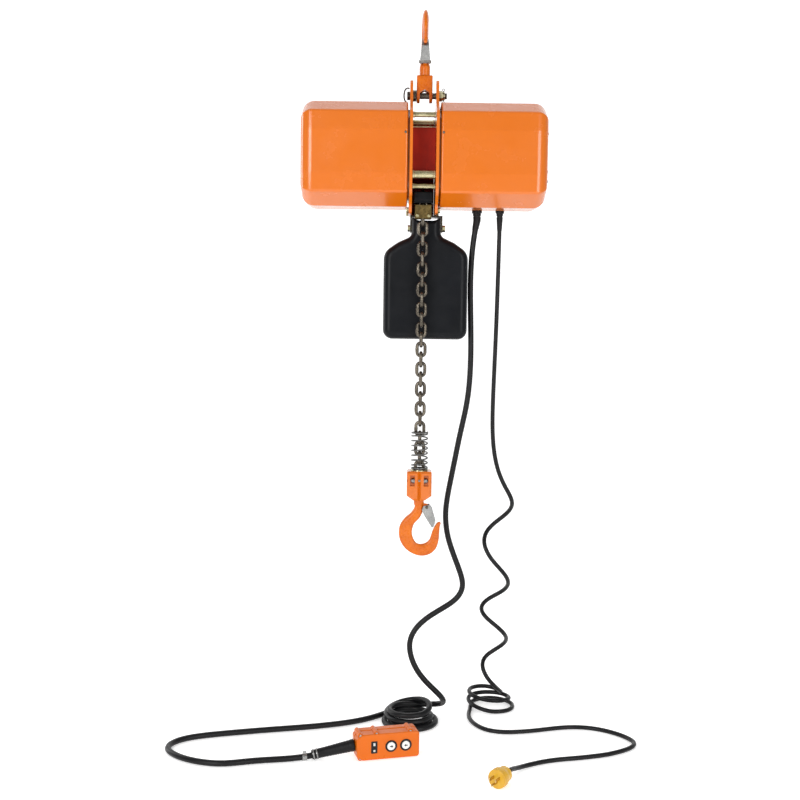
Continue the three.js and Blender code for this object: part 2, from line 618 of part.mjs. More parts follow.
function roundSection(radius, sides) {
  return new THREE.Shape(Array.from({ length: sides }, (_, i) => new THREE.Vector2(
    radius * Math.cos(i * 2 * Math.PI / sides), radius * Math.sin(i * 2 * Math.PI / sides))));
}

add('buffer_spring', bufferSpring(), SILVER).position.set(0, -CHAIN_Y, BLOCK_TOP_Z + SPRING.wire / 2 + GAP);

// ---------------------------------------------------------------- hook block
// Half of the block, cut out for the last links, the anchor pin, the bolts and the hook's collar.
function hookBlockHalf(side) {
  const outline = [[GAP / 2, 0], [24, 0], [26.2, -2.5], [26.2, -52], [12.5, -61.5], [GAP / 2, -BLOCK_HEIGHT]]
    .map(([x, z]) => [x * side, z]);
  const [recess0, recess1] = side > 0 ? [9.5, 19.5] : [-19.5, -9.5];
  const bolts = [-1, 1].flatMap((end) => {
    const [y0, y1] = end > 0 ? [14.5, 23] : [-23, -14.5];
    return [box([recess0, y0, -31], [recess1, y1, -8]), rodX(3, -30, 30, end * 17.5, -19.5, 8)];
  });
  return cut(
    slabY(polygon(side > 0 ? outline : outline.reverse()), -BLOCK_DEPTH / 2, BLOCK_DEPTH / 2,
      { bevelThickness: 4, bevelSize: 4, bevelOffset: -4, bevelSegments: 1 }),
    box([-5, -13, -35.5], [5, 13, 1]),
    box([-13, -5, -13.5], [13, 5, 1]),
    rodX(4 + GAP, -20, 20, 0, -anchorDepth, 12),
    rodZ(COLLAR_RADIUS + GAP, -COLLAR_DEPTH - GAP, -36, 0, 0),
    rodZ(SHANK_RADIUS + GAP, -70, -44, 0, 0),
    ...bolts);
}

for (const [name, side] of [['hook_block_left', -1], ['hook_block_right', 1]]) {
  add(name, hookBlockHalf(side), ORANGE).position.set(0, -CHAIN_Y, BLOCK_TOP_Z);
}
const anchorPin = add('chain_anchor_pin', rodX(4, -19, 19, 0, 0, 12), SILVER);
anchorPin.position.set(0, -CHAIN_Y, BLOCK_TOP_Z - anchorDepth);

// ---------------------------------------------------------------- cords
function cordTube(points, diameter, steps) {
  const path = new THREE.CatmullRomCurve3(points.map(([x, y, z]) => new THREE.Vector3(x, y, z)));
  return new THREE.ExtrudeGeometry(roundSection(diameter / 2, 8), {
    steps, bevelEnabled: false, extrudePath: path,
  });
}

// The cords start far enough below their glands to swing a little.
const CORD_CLEARANCE = 5 * GAP;
const CORD_START_Z = BODY_Z - BODY_HALF_HEIGHT - GAP - GLAND_HEIGHT - CORD_CLEARANCE;
const PENDANT_DROP = [
  [117, 34, CORD_START_Z], [117, 34, -405], [113, 33, -428], [107, 33, -477], [105, 33, -552], [109, 32, -649],
  [109, 31, -725], [104, 30, -795], [89, 30, -861], [78, 30, -924], [64, 29, -997], [59, 29, -1041],
  [64, 28, -1089], [80, 28, -1134], [95, 27, -1172], [102, 26, -1201], [90, 24, -1227], [62, 22, -1247],
  [29, 19, -1266], [-1, 16, -1291], [-17, 12, -1323], [-11, 8, -1359], [4, 4, -1389], [26.6, 4, -1415.3],
  [48, 8, -1436], [61, 18, -1454], [62, 33, -1467.5], [50, 45, -1474.5], [44, 47, -1475.5]];
const PENDANT_LEAD = [
  [-85, 14, -1493], [-126, -18, -1493], [-187, -43, -1493], [-246, -60, -1493], [-316, -76, -1493],
  [-374, -92, -1493], [-431, -108, -1493], [-478, -127, -1493], [-504, -154, -1493], [-510, -182, -1493],
  [-499, -207, -1493], [-473, -233, -1493], [-436, -253, -1493], [-392, -263, -1493], [-356, -255, -1493],
  [-320, -243, -1493], [-269, -235, -1493], [-240, -227, -1493], [-221, -222, -1492.7],
  [-203.6, -218.9, -1490.9]];
const POWER_DROP = [
  [166, 34, CORD_START_Z], [166, 34, -410], [166, 35, -444], [165, 36, -530], [164, 38, -616],
  [162, 40, -703], [160, 42, -790], [160, 44, -861], [167, 46, -923], [184, 48, -972], [204, 37, -1003],
  [210, 62, -1030], [192, 76, -1053], [166, 77, -1073], [148, 65, -1094], [148, 48, -1118],
  [164, 40, -1145], [190, 42, -1172], [207, 62, -1200], [197, 92, -1227], [166, 95, -1243],
  [143, 79, -1259], [150, 52, -1274], [175, 51, -1294], [199, 59, -1317], [207, 96, -1344],
  [186, 112, -1366], [159, 111, -1383], [150, 91, -1399], [160, 81, -1423], [182, 86, -1445],
  [201, 112, -1462], [209, 117, -1468]];
const POWER_LEAD = [
  [125, 72, -1494.5], [118, 36, -1494.5], [121, -3, -1494.5], [137, -40, -1494.5], [159, -61, -1494.5],
  [188, -69, -1494.5], [223, -65, -1494.5], [259, -56, -1494.5], [295, -43, -1494.5], [329, -34, -1494.5],
  [361, -33, -1494.5], [392, -42, -1494.5], [419, -59, -1494.5], [441, -81, -1494.5], [455, -104, -1494.5],
  [458, -125, -1494.5], [447, -146, -1494.5], [423, -166, -1494.5], [391, -185, -1494.5], [356, -197, -1494.5],
  [325, -206, -1494.5], [293, -213, -1494.5], [265, -222, -1494.5], [238, -235, -1494.5], [214, -251, -1494],
  [196, -272, -1490], [185, -291, -1484], [178.5, -305, -1481]];

const cords = new THREE.Group();
hoist.add(cords);
add('pendant_cord', cordTube(PENDANT_DROP, PENDANT_CORD, 38), RUBBER, cords);
add('pendant_lead', cordTube(PENDANT_LEAD, PENDANT_CORD, 28), RUBBER, cords);
add('power_cord', cordTube(POWER_DROP, POWER_CORD, 54), RUBBER, cords);
add('power_lead', cordTube(POWER_LEAD, POWER_CORD, 36), RUBBER, cords);

// The outer shape of a round coil that lies on the floor.
function coilRing({ x, y, outer, inner, height }) {
  const round = 5;
  const profile = [[inner + round, 0], [outer - round, 0], [outer, round], [outer, height - round],
    [outer - round, height], [inner + round, height], [inner, height - round], [inner, round],
    [inner + round, 0]];
  return lathe(profile, 16).rotateX(Math.PI / 2).translate(x, y, FLOOR_Z);
}

add('pendant_coil', coilRing(PENDANT_COIL), RUBBER, cords);
add('power_coil', coilRing(POWER_COIL), RUBBER, cords);

// ---------------------------------------------------------------- pendant, standing on its long side
const pendant = new THREE.Group();
pendant.position.set(CASE.x, CASE.y, FLOOR_Z + CASE.width / 2);
pendant.rotation.z = THREE.MathUtils.degToRad(CASE.yaw);
cords.add(pendant);

function caseOutline() {
  const end = CASE.length / 2;
  const half = CASE.width / 2;
  return roundedPolygon([[-end, -half + 9], [-end + 12, -half], [end, -half], [end, half], [-end + 12, half],
    [-end, half - 9]], 6);
}

function pendantFront() {
  const half = CASE.thick / 2;
  const holes = [BUTTONS.up, BUTTONS.down].map((x) =>
    rodY(BUTTONS.radius + GAP, -half - 1, -half + 14, x, 0, 18));
  return cut(slabY(caseOutline(), -half, CASE.split - GAP / 2, { curveSegments: 2 }), ...holes);
}

add('pendant_case', pendantFront(), ORANGE, pendant);
const pendantBack = slabY(caseOutline(), CASE.split + GAP / 2, CASE.thick / 2, { curveSegments: 2 });
add('pendant_back', pendantBack, ORANGE, pendant);
for (const name of ['up', 'down']) {
  const front = -CASE.thick / 2 - 0.8;
  const button = rodY(BUTTONS.radius, front, front + BUTTONS.length, BUTTONS[name], 0, 18);
  add(`${name}_button`, button, WHITE, pendant);
}

// The boot points from the case down to the cord on the floor.
const bootAxis = new THREE.Vector3(-73.4, 7.9, -17.5).normalize();
const bootTurn = new THREE.Quaternion().setFromUnitVectors(new THREE.Vector3(0, 1, 0), bootAxis);
const bootBody = new THREE.CylinderGeometry(BOOT.thin, BOOT.thick, BOOT.length, 16);
const boot = add('pendant_boot', bootBody, RUBBER, pendant);
boot.quaternion.copy(bootTurn);
boot.position.set(-CASE.length / 2 - 3, 1, -1).addScaledVector(bootAxis, BOOT.length / 2);

// ---------------------------------------------------------------- plug
function powerPlug() {
  const profile = [[0, 0], [PLUG.radius - 1.5, 0], [PLUG.radius, 1.5], [PLUG.radius, 15], [15.5, 22],
    [14.5, 34], [8.5, 44], [0, 44]];
  return join(
    lathe(profile, 20),
    box([-7.2, -17, 0], [-5.7, 2, 6.3]),
    box([5.7, -17, 0], [7.2, 2, 6.3]),
    rodY(2.4, -20, 2, 0, -6, 8));
}

const plug = add('power_plug', powerPlug(), YELLOW, cords);
plug.position.set(PLUG.x, PLUG.y, FLOOR_Z + PLUG.radius + GAP);
plug.rotation.z = THREE.MathUtils.degToRad(PLUG.yaw);

export default hoist;
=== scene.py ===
"""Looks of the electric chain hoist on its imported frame: pieces, materials, cords, light and camera.

Shapes are worked out in millimetres in the frame's axes and turned into metres when a piece is made.
"""

import json
from math import acos, atan2, copysign, cos, pi, radians, sin, sqrt, tan

import bpy
import numpy as np
from mathutils import Matrix, Vector
from numpy.linalg import norm


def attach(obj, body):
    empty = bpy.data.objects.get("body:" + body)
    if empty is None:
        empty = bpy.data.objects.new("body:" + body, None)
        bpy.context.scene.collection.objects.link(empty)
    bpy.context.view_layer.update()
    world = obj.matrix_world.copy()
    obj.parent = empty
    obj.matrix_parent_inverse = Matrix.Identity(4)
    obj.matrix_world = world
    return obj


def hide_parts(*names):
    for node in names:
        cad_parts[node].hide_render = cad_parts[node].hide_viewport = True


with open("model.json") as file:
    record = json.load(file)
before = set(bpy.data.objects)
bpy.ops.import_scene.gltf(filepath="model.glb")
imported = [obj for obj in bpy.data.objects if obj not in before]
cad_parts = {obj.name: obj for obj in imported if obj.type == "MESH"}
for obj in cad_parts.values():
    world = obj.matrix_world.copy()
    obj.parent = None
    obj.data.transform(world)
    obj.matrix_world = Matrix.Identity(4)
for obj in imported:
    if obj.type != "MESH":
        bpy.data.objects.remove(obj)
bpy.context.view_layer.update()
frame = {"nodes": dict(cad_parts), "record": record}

MM = 0.001
FLOOR_Z = -1500
CHAIN_Y = 34.2


def added(name, data):
    """A new object of the scene that shows the data."""
    made = bpy.data.objects.new(name, data)
    bpy.context.scene.collection.objects.link(made)
    return made


# -------- camera
CAMERA_PLACE = (-0.043, -2.5, -0.5752)
CAMERA_DOWN = 4.9
CAMERA_ROLL = 0.75
SENSOR_WIDTH = 36
FOCAL_LENGTH = 52.56


def add_camera():
    """Looks along +Y and a little down, with a slight roll."""
    data = bpy.data.cameras.new("camera")
    data.sensor_width = SENSOR_WIDTH
    data.lens = FOCAL_LENGTH
    camera = added("camera", data)
    camera.location = CAMERA_PLACE
    tilt = Matrix.Rotation(radians(90 - CAMERA_DOWN), 4, "X")
    roll = Matrix.Rotation(radians(CAMERA_ROLL), 4, "Z")
    camera.rotation_euler = (tilt @ roll).to_euler()
    bpy.context.scene.camera = camera


add_camera()


# -------- materials
COAT_ROUGHNESS = 0.06
RELIEF_DEPTH = 0.0006


def linear(color):
    """A screen colour, 0 to 255, as the linear values that shaders take."""
    shares = [value / 255 for value in color]
    return tuple(c / 12.92 if c <= 0.04045 else ((c + 0.055) / 1.055) ** 2.4 for c in shares) + (1.0,)


def set_inputs(node, values):
    for key, value in values.items():
        node.inputs[key].default_value = value


def finish(name, color, tint, roughness, metallic=0.0, coat=0.0, shine=0.5, patch=6.0, amount=0.5,
           uneven=0.08, grain=900.0, relief=0.05, stretch=(1, 1, 1), fleck=None):
    """A material whose colour drifts towards tint in patches, with uneven gloss, fine relief and flecks.

    Colours are screen colours. patch and grain are noise scales per metre, stretch draws the fine grain out
    along an axis, and fleck is a colour and its share.
    """
    made = bpy.data.materials.new(name)
    made.use_nodes = True
    nodes, links = made.node_tree.nodes, made.node_tree.links
    shader = nodes["Principled BSDF"]
    set_inputs(shader, {"Base Color": linear(color), "Metallic": metallic, "Roughness": roughness,
                        "Specular IOR Level": shine, "Coat Weight": coat, "Coat Roughness": COAT_ROUGHNESS})
    place = nodes.new("ShaderNodeTexCoord")
    drawn = nodes.new("ShaderNodeMapping")
    drawn.inputs["Scale"].default_value = stretch
    links.new(place.outputs["Object"], drawn.inputs["Vector"])

    def noise(scale, detail, source):
        texture = nodes.new("ShaderNodeTexNoise")
        set_inputs(texture, {"Scale": scale, "Detail": detail, "Roughness": 0.6})
        links.new(source, texture.inputs["Vector"])
        return texture.outputs["Fac"]

    def ranged(source, low, high, to_low, to_high):
        node = nodes.new("ShaderNodeMapRange")
        set_inputs(node, {"From Min": low, "From Max": high, "To Min": to_low, "To Max": to_high})
        links.new(source, node.inputs["Value"])
        return node.outputs["Result"]

    def mixed(factor, first, second):
        node = nodes.new("ShaderNodeMix")
        node.data_type = "RGBA"
        links.new(factor, node.inputs["Factor"])
        for socket, value in ((node.inputs[6], first), (node.inputs[7], second)):
            if isinstance(value, tuple):
                socket.default_value = value
            else:
                links.new(value, socket)
        return node.outputs[2]

    patches = noise(patch, 4.0, place.outputs["Object"])
    hue = mixed(ranged(patches, 0.35, 0.7, 0.0, amount), linear(color), linear(tint))
    if fleck:
        fleck_color, share = fleck
        flecks = noise(grain * 0.35, 6.0, place.outputs["Object"])
        hue = mixed(ranged(flecks, 0.62, 0.7, 0.0, share), hue, linear(fleck_color))
    links.new(hue, shader.inputs["Base Color"])
    fine = noise(grain, 3.0, drawn.outputs["Vector"])
    gloss = noise(patch * 5, 5.0, place.outputs["Object"])
    spread = ranged(gloss, 0.3, 0.7, max(roughness - uneven, 0.02), roughness + uneven)
    links.new(spread, shader.inputs["Roughness"])
    bump = nodes.new("ShaderNodeBump")
    set_inputs(bump, {"Strength": relief, "Distance": RELIEF_DEPTH})
    links.new(fine, bump.inputs["Height"])
    links.new(bump.outputs["Normal"], shader.inputs["Normal"])
    return made


ORANGE = finish("orange_enamel", (202, 101, 3), (195, 92, 2), 0.25, coat=0.34, uneven=0.05, patch=4,
                amount=0.35, grain=420, relief=0.035, fleck=((214, 112, 14), 0.12))
FORGED = finish("orange_enamel_forged", (206, 104, 3), (172, 70, 3), 0.3, coat=0.1, shine=0.3, uneven=0.1,
                patch=40, amount=0.7, grain=700, relief=0.22, fleck=((120, 52, 20), 0.35))
ORANGE_PLASTIC = finish("orange_plastic", (208, 100, 2), (198, 88, 2), 0.34, shine=0.3, patch=14,
                        amount=0.4, grain=1500, relief=0.1)
ZINC = finish("yellow_zinc", (210, 203, 166), (156, 148, 108), 0.32, metallic=1.0, patch=45, amount=0.9,
              uneven=0.12, relief=0.1, stretch=(0.06, 1, 1), fleck=((92, 74, 40), 0.5))
SILVER = finish("bright_zinc", (160, 160, 158), (118, 119, 120), 0.3, metallic=1.0, patch=60, amount=0.7,
                uneven=0.1, grain=1200, relief=0.08, fleck=((110, 112, 116), 0.3))
DARK_STEEL = finish("dark_steel", (106, 99, 88), (40, 36, 33), 0.24, metallic=0.9, patch=70, amount=0.85,
                    uneven=0.14, relief=0.2, fleck=((120, 78, 48), 0.3))
# A darker, olive zinc than the spacers', for the chain guide.
OLIVE = finish("dark_olive_zinc", (112, 94, 54), (66, 54, 30), 0.34, metallic=0.85, patch=60, amount=0.9,
               uneven=0.14, grain=800, relief=0.25, fleck=((150, 140, 96), 0.35))
# Painted shade: a darkened red in place of the sheave guard's orange paint, for the shade it lies in between
# the frame plates.
GUARD_SHADE_RED = finish("guard_painted_shade", (158, 32, 10), (122, 18, 6), 0.44, shine=0.15, patch=20, amount=0.8, grain=600,
             relief=0.1, fleck=((176, 52, 20), 0.3))
IRON = finish("machined_iron", (112, 112, 110), (70, 70, 70), 0.36, metallic=0.9, patch=40, amount=0.7,
              grain=1000, relief=0.2, fleck=((60, 58, 56), 0.4))
COPPER = finish("copper_winding", (176, 96, 54), (120, 58, 30), 0.38, metallic=0.8, patch=50, amount=0.8,
                grain=1400, relief=0.5, stretch=(1, 0.05, 0.05), fleck=((90, 40, 20), 0.5))
BLACK_PLASTIC = finish("black_plastic", (10, 12, 15), (18, 20, 25), 0.34, shine=0.14, patch=9, amount=0.6,
                       grain=1100, relief=0.22, uneven=0.07, fleck=((30, 33, 38), 0.15))
GREY_PLASTIC = finish("grey_plastic", (140, 143, 146), (120, 123, 126), 0.5, patch=30, grain=1500,
                      relief=0.1)
RUBBER = finish("black_rubber", (13, 13, 15), (20, 20, 22), 0.36, shine=0.22, patch=18, amount=0.7,
                grain=1600, relief=0.25, uneven=0.1, fleck=((28, 28, 28), 0.18))
YELLOW = finish("yellow_plastic", (214, 168, 30), (182, 126, 26), 0.36, coat=0.15, patch=35, amount=0.6,
                grain=1500, relief=0.12)
WHITE = finish("white_plastic", (226, 226, 222), (204, 204, 200), 0.3, coat=0.3, patch=80, grain=1800)
INK = finish("dark_print", (15, 15, 17), (26, 26, 28), 0.5, shine=0.3, patch=90, grain=2000)
MARK = finish("pale_print", (214, 214, 210), (190, 190, 186), 0.45, patch=90, grain=2000)
BRASS = finish("plated_brass", (214, 190, 132), (180, 150, 92), 0.22, metallic=1.0, patch=80, amount=0.7,
               grain=1500, relief=0.06)

SLOT_FINISH = {
    "orange_paint": ORANGE, "orange_plastic": ORANGE_PLASTIC, "yellow_zinc": ZINC, "bright_steel": SILVER,
    "dark_steel": DARK_STEEL, "cast_iron": IRON, "copper_winding": COPPER, "black_plastic": BLACK_PLASTIC,
    "grey_plastic": GREY_PLASTIC, "black_rubber": RUBBER, "yellow_plastic": YELLOW,
    "white_plastic": WHITE,
}


# -------- shapes, as (points, faces) in millimetres
def merged(*shapes):
    points, faces, count = [], [], 0
    for shape_points, shape_faces in shapes:
        points.append(np.asarray(shape_points, float).reshape(-1, 3))
        faces.extend([tuple(i + count for i in face) for face in shape_faces])
        count += len(shape_points)
    return np.concatenate(points), faces


def moved(shape, x=0.0, y=0.0, z=0.0):
    return shape[0] + np.array([x, y, z]), shape[1]


def turned(shape, degrees, axis):
    turn = np.array(Matrix.Rotation(radians(degrees), 3, axis))
    return shape[0] @ turn.T, shape[1]


def along_x(shape):
    """The shape with its Z axis laid along X."""
    return turned(shape, 90, "Y")


def along_y(shape):
    """The shape with its Z axis laid along -Y."""
    return turned(shape, 90, "X")


def loft(rings, closed=False):
    """Joins rings of equally many points into a skin, with end caps unless it closes on itself."""
    count, faces = len(rings[0]), []
    last = len(rings) if closed else len(rings) - 1
    for i in range(last):
        a, b = i * count, (i + 1) % len(rings) * count
        faces.extend([(a + j, a + (j + 1) % count, b + (j + 1) % count, b + j) for j in range(count)])
    if not closed:
        faces.append(tuple(range(count - 1, -1, -1)))
        faces.append(tuple((len(rings) - 1) * count + j for j in range(count)))
    return np.concatenate([np.asarray(r, float) for r in rings]), faces


def circle(radius, sides, phase=0.0):
    angles = [2 * pi * (i + phase) / sides for i in range(sides)]
    return [(radius * cos(a), radius * sin(a)) for a in angles]


def lathe(profile, sides=40):
    """A solid of revolution about Z, from the (radius, height) pairs of its profile, bottom to top."""
    return loft([[(x, y, h) for x, y in circle(max(r, 0.01), sides)] for r, h in profile])


def both_ends(upper):
    """The (radius, height) profile whose lower half mirrors the upper."""
    return [(r, -h) for r, h in reversed(upper)] + upper


def ring(profile, sides=40):
    """A closed ring about Z whose section is the closed (radius, height) profile."""
    return loft([[(r * x, r * y, h) for r, h in profile] for x, y in circle(1.0, sides)], closed=True)


# A direction that no path starts along.
SIDE_HINT = (0.31, 0.57, 0.76)


def frames(path, closed):
    """Directions across a path that don't twist along it."""
    path = np.asarray(path, float)
    ahead = np.roll(path, -1, 0) - np.roll(path, 1, 0)
    if not closed:
        ahead[0], ahead[-1] = path[1] - path[0], path[-1] - path[-2]
    ahead /= norm(ahead, axis=1)[:, None]
    side = np.cross(ahead[0], SIDE_HINT)
    side /= norm(side)
    sides = []
    for direction in ahead:
        side = side - direction * (side @ direction)
        side /= norm(side)
        sides.append(side)
    return np.array(sides), np.cross(ahead, np.array(sides))


def tube(path, radius, sides=12, closed=False):
    """A round tube along a path; radius is a number or one for each point."""
    path = np.asarray(path, float)
    radii = np.full(len(path), radius) if np.isscalar(radius) else np.asarray(radius)
    across, up = frames(path, closed)
    rings = []
    for point, a, b, r in zip(path, across, up, radii):
        rings.append([point + r * (x * a + y * b) for x, y in circle(1.0, sides)])
    return loft(rings, closed)


LEAST_RADIUS = 0.4


def rounded(corners, inset=0.0, steps=6):
    """The outline through anticlockwise (x, y, radius) corners, drawn in by inset, with an arc at each."""
    points = [np.array(c[:2], float) for c in corners]
    count, shifted = len(points), []
    for i in range(count):
        before, here, after = points[i - 1], points[i], points[(i + 1) % count]
        d0 = (here - before) / norm(here - before)
        d1 = (after - here) / norm(after - here)
        n0, n1 = np.array([-d0[1], d0[0]]), np.array([-d1[1], d1[0]])
        shifted.append((here + inset * (n0 + n1) / (1 + n0 @ n1), d0, d1))
    outline = []
    for (corner, d0, d1), (_, _, radius) in zip(shifted, corners):
        bend = atan2(d0[0] * d1[1] - d0[1] * d1[0], d0 @ d1)
        sign = 1 if bend > 0 else -1
        radius = max(radius - sign * inset, LEAST_RADIUS)
        reach = radius * tan(abs(bend) / 2)
        centre = corner - reach * d0 + sign * radius * np.array([-d0[1], d0[0]])
        start = corner - reach * d0 - centre
        for k in range(steps + 1):
            a = bend * k / steps
            outline.append(centre + (start[0] * cos(a) - start[1] * sin(a),
                                     start[0] * sin(a) + start[1] * cos(a)))
    return outline


PLANES = {
    "x": lambda a, b, h: (h, a, b),
    "y": lambda a, b, h: (a, h, b),
    "z": lambda a, b, h: (a, b, h),
}


def slab(corners, plane, low, high, edge=0.0, steps=6, edge_steps=3):
    """A rounded outline extruded along X, Y or Z from low to high, with its two edges rounded by edge."""
    place, levels = PLANES[plane], []
    if edge > 0:
        for k in range(edge_steps + 1):
            a = pi / 2 * k / edge_steps
            levels.append((edge * (1 - sin(a)), edge * (1 - cos(a))))
    else:
        levels.append((0.0, 0.0))
    stack = [(d, low + h) for d, h in levels] + [(d, high - h) for d, h in reversed(levels)]
    shape = loft([[place(a, b, h) for a, b in rounded(corners, d, steps)] for d, h in stack])
    if plane == "y":
        return shape[0], [tuple(reversed(face)) for face in shape[1]]
    return shape


def oblong(x0, y0, x1, y1, radius):
    """Corners of a rectangle with rounded corners."""
    return [(x0, y0, radius), (x1, y0, radius), (x1, y1, radius), (x0, y1, radius)]


def block(low, high, edge=0.8):
    """A box from its lowest to its highest corner, with rounded edges."""
    (x0, y0, z0), (x1, y1, z1) = low, high
    return slab(oblong(x0, y0, x1, y1, edge), "z", z0, z1, edge * 0.99, 3, 2)


def hexagon(across, height, edge=0.6):
    """A hexagonal nut or bolt head standing on Z=0."""
    reach = across / sqrt(3)
    return slab([(x, y, 0.5) for x, y in circle(reach, 6)], "z", 0, height, edge, 2, 2)


def pan_screw(radius):
    """The head of a pan-head screw, standing on Z=0."""
    profile = [(1, 0), (1, 0.3), (0.86, 0.55), (0.5, 0.72)]
    return lathe([(radius * r, radius * h) for r, h in profile] + [(0.01, 0.76 * radius)], 20)


# -------- pieces
FLAT_WEIGHT = 80
SHARP_ANGLE = 35


def dress(obj, width=0.0):
    """Smooth shading with crisp flats; a width also rounds the edges where faces meet sharply."""
    obj.data.shade_smooth()
    if width > 0:
        bevel = obj.modifiers.new("edges", "BEVEL")
        bevel.width = width * MM
        bevel.segments = 2
        bevel.limit_method = "ANGLE"
        bevel.angle_limit = radians(SHARP_ANGLE)
        bevel.miter_outer = "MITER_ARC"
    normals = obj.modifiers.new("normals", "WEIGHTED_NORMAL")
    normals.keep_sharp = True
    normals.weight = FLAT_WEIGHT
    if width == 0:
        obj.data.set_sharp_from_angle(angle=radians(SHARP_ANGLE))


def piece(name, shape, body, slot=None, stands_for=(), carve=(), place=None, look=None):
    """Makes a piece from a shape, cuts the carve shapes out of it, and lets it ride on a body.

    It looks as its slot does, unless another look is given.
    """
    made = raw_object(name, shape)
    if carve:
        carve_out(made, carve)
    if place is not None:
        made.data.transform(place)
    made.data.materials.append(look or SLOT_FINISH[slot])
    dress(made)
    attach(made, body)
    if stands_for:
        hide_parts(*stands_for)
    return made


def raw_object(name, shape):
    mesh = bpy.data.meshes.new(name)
    mesh.from_pydata([tuple(p) for p in np.asarray(shape[0]) * MM], [], shape[1])
    mesh.update()
    return added(name, mesh)


def carve_out(obj, shapes):
    tools = [raw_object(f"{obj.name}_tool_{i}", shape) for i, shape in enumerate(shapes)]
    for tool in tools:
        cut = obj.modifiers.new("cut", "BOOLEAN")
        cut.operation = "DIFFERENCE"
        cut.solver = "EXACT"
        cut.use_self = True
        cut.object = tool
    bpy.context.view_layer.update()
    carved = bpy.data.meshes.new_from_object(obj.evaluated_get(bpy.context.evaluated_depsgraph_get()))
    obj.modifiers.clear()
    obj.data = carved
    for tool in tools:
        bpy.data.objects.remove(tool)


NODE_FINISH = {"chain_guide": OLIVE}
# Widths of the rounded edges of nodes that are shown as they are.
EDGE_WIDTH = {
    "chain_guide": 0.5, "left_frame_plate": 0.9, "right_frame_plate": 0.9, "motor_flange": 0.8,
    "gear_flange": 0.8, "hook_block_left": 0.9, "hook_block_right": 0.9, "container_bracket": 0.5,
    "gear_case": 1.2, "suspension_pin": 0.6, "suspension_collar": 0.6, "contactor_pair": 0.8,
    "control_panel": 0.3,
}


def dress_frame():
    """Gives every carried-over CAD node its finish and shading; those in EDGE_WIDTH also get rounded edges.
    """
    slots = {entry["node"]: entry["material_slot"] for entry in frame["record"]["subparts"]}
    for name, node in frame["nodes"].items():
        node.data.materials.clear()
        node.data.materials.append(NODE_FINISH.get(name, SLOT_FINISH[slots[name]]))
        dress(node, width=EDGE_WIDTH.get(name, 0.0))


dress_frame()


# -------- cords
PENDANT_CORD = 12.5
POWER_CORD = 9.5
PENDANT_EXIT = (117, 34, -395.3)
POWER_EXIT = (166, 34, -395.3)
PENDANT_REST_Z = -1493
POWER_REST_Z = -1494.5


def at_height(z, places):
    """The points of a cord where it lies flat."""
    return [(x, y, z) for x, y in places]


PENDANT_DROP = [
    PENDANT_EXIT, (117, 34, -405), (113, 33, -428), (107, 33, -477), (105, 33, -552), (109, 32, -649),
    (109, 31, -725), (104, 30, -795), (89, 30, -861), (78, 30, -924), (64, 29, -997), (59, 29, -1041),
    (64, 28, -1089), (80, 28, -1134), (95, 27, -1172), (102, 26, -1201), (90, 24, -1227),
    (62, 22, -1247), (29, 19, -1266), (-1, 16, -1291), (-17, 12, -1323), (-11.4, 8, -1358.7),
    (4, 4, -1389), (26.6, 4, -1415.3), (48, 8, -1436), (61, 18, -1454), (62, 33, -1467.5),
    (50, 45, -1474.5), (32, 49, -1476.5), (13, 45, -1475.5),
]
PENDANT_LEAD = [
    (-38, 52, -1493.7), (-65, 38, -1493.7),
    *at_height(PENDANT_REST_Z, [
        (-85, 14), (-126, -18), (-187, -43), (-246, -60), (-316, -76), (-374, -92), (-431, -108),
        (-478, -127), (-504, -154), (-510, -182), (-499, -207), (-473, -233), (-436, -253),
        (-392, -263), (-356, -255), (-320, -243), (-269, -235), (-240, -227),
    ]),
    (-221, -222, -1491.9), (-203.6, -218.9, -1489),
]
POWER_DROP = [
    POWER_EXIT, (166, 34, -410), (166, 35, -444), (165, 36, -530), (164, 38, -616), (162, 40, -703),
    (160, 42, -790), (160, 44, -861), (167, 46, -923), (184, 48, -972), (204, 37, -1003),
    (210, 62, -1030), (192, 76, -1053), (166, 77, -1073), (148, 65, -1094), (148, 48, -1118),
    (164, 40, -1145), (190, 42, -1172), (207, 62, -1200), (197, 92, -1227), (166, 95, -1243),
    (143, 79, -1259), (150, 52, -1274), (175, 51, -1294), (199, 59, -1317), (207, 96, -1344),
    (186, 112, -1366), (159, 111, -1383), (150, 91, -1399), (160, 81, -1423), (181, 86, -1447),
    (196.5, 108, -1465.5),
]
POWER_LEAD = [
    *at_height(POWER_REST_Z, [
        (125, 72), (118, 36), (121, -3), (137, -40), (159, -61), (188, -69), (223, -65), (259, -56),
        (295, -43), (329, -34), (361, -33), (392, -42), (419, -59), (441, -81), (455, -104),
        (458, -125), (447, -146), (423, -166), (391, -185), (356, -197), (325, -206), (293, -213),
        (265, -222), (238, -235),
    ]),
    (214, -251, -1494), (196, -272, -1490), (185, -291, -1484), (178.5, -305, -1481),
]

# Each key of a coil: an angle in degrees, then the radius and height of the turn there.
PENDANT_COIL_MIDDLE = (-13, -6)
PENDANT_COIL_KEYS = [
    (84, 43, -1473), (130, 43, -1470.5), (180, 45, -1469.5), (225, 44, -1469.5), (270, 42, -1469.5),
    (315, 42, -1468), (350, 43, -1464), (385, 45, -1459.5), (415, 49, -1460.5), (445, 54.5, -1466),
    (480, 56.5, -1473), (515, 54, -1479.5), (550, 49, -1481.5), (600, 47, -1481.5),
    (720, 46.5, -1481.5), (790, 45, -1483.5), (840, 43, -1482.5), (880, 42.5, -1486.5),
    (920, 43, -1492), (950, 43.5, -1493.7), (1080, 44, -1493.7), (1160, 45.5, -1493.7),
    (1200, 50.5, -1493.7), (1240, 55, -1493.7), (1280, 56.5, -1493.7), (1440, 57.5, -1493.7),
    (1530, 58.5, -1493.7),
]
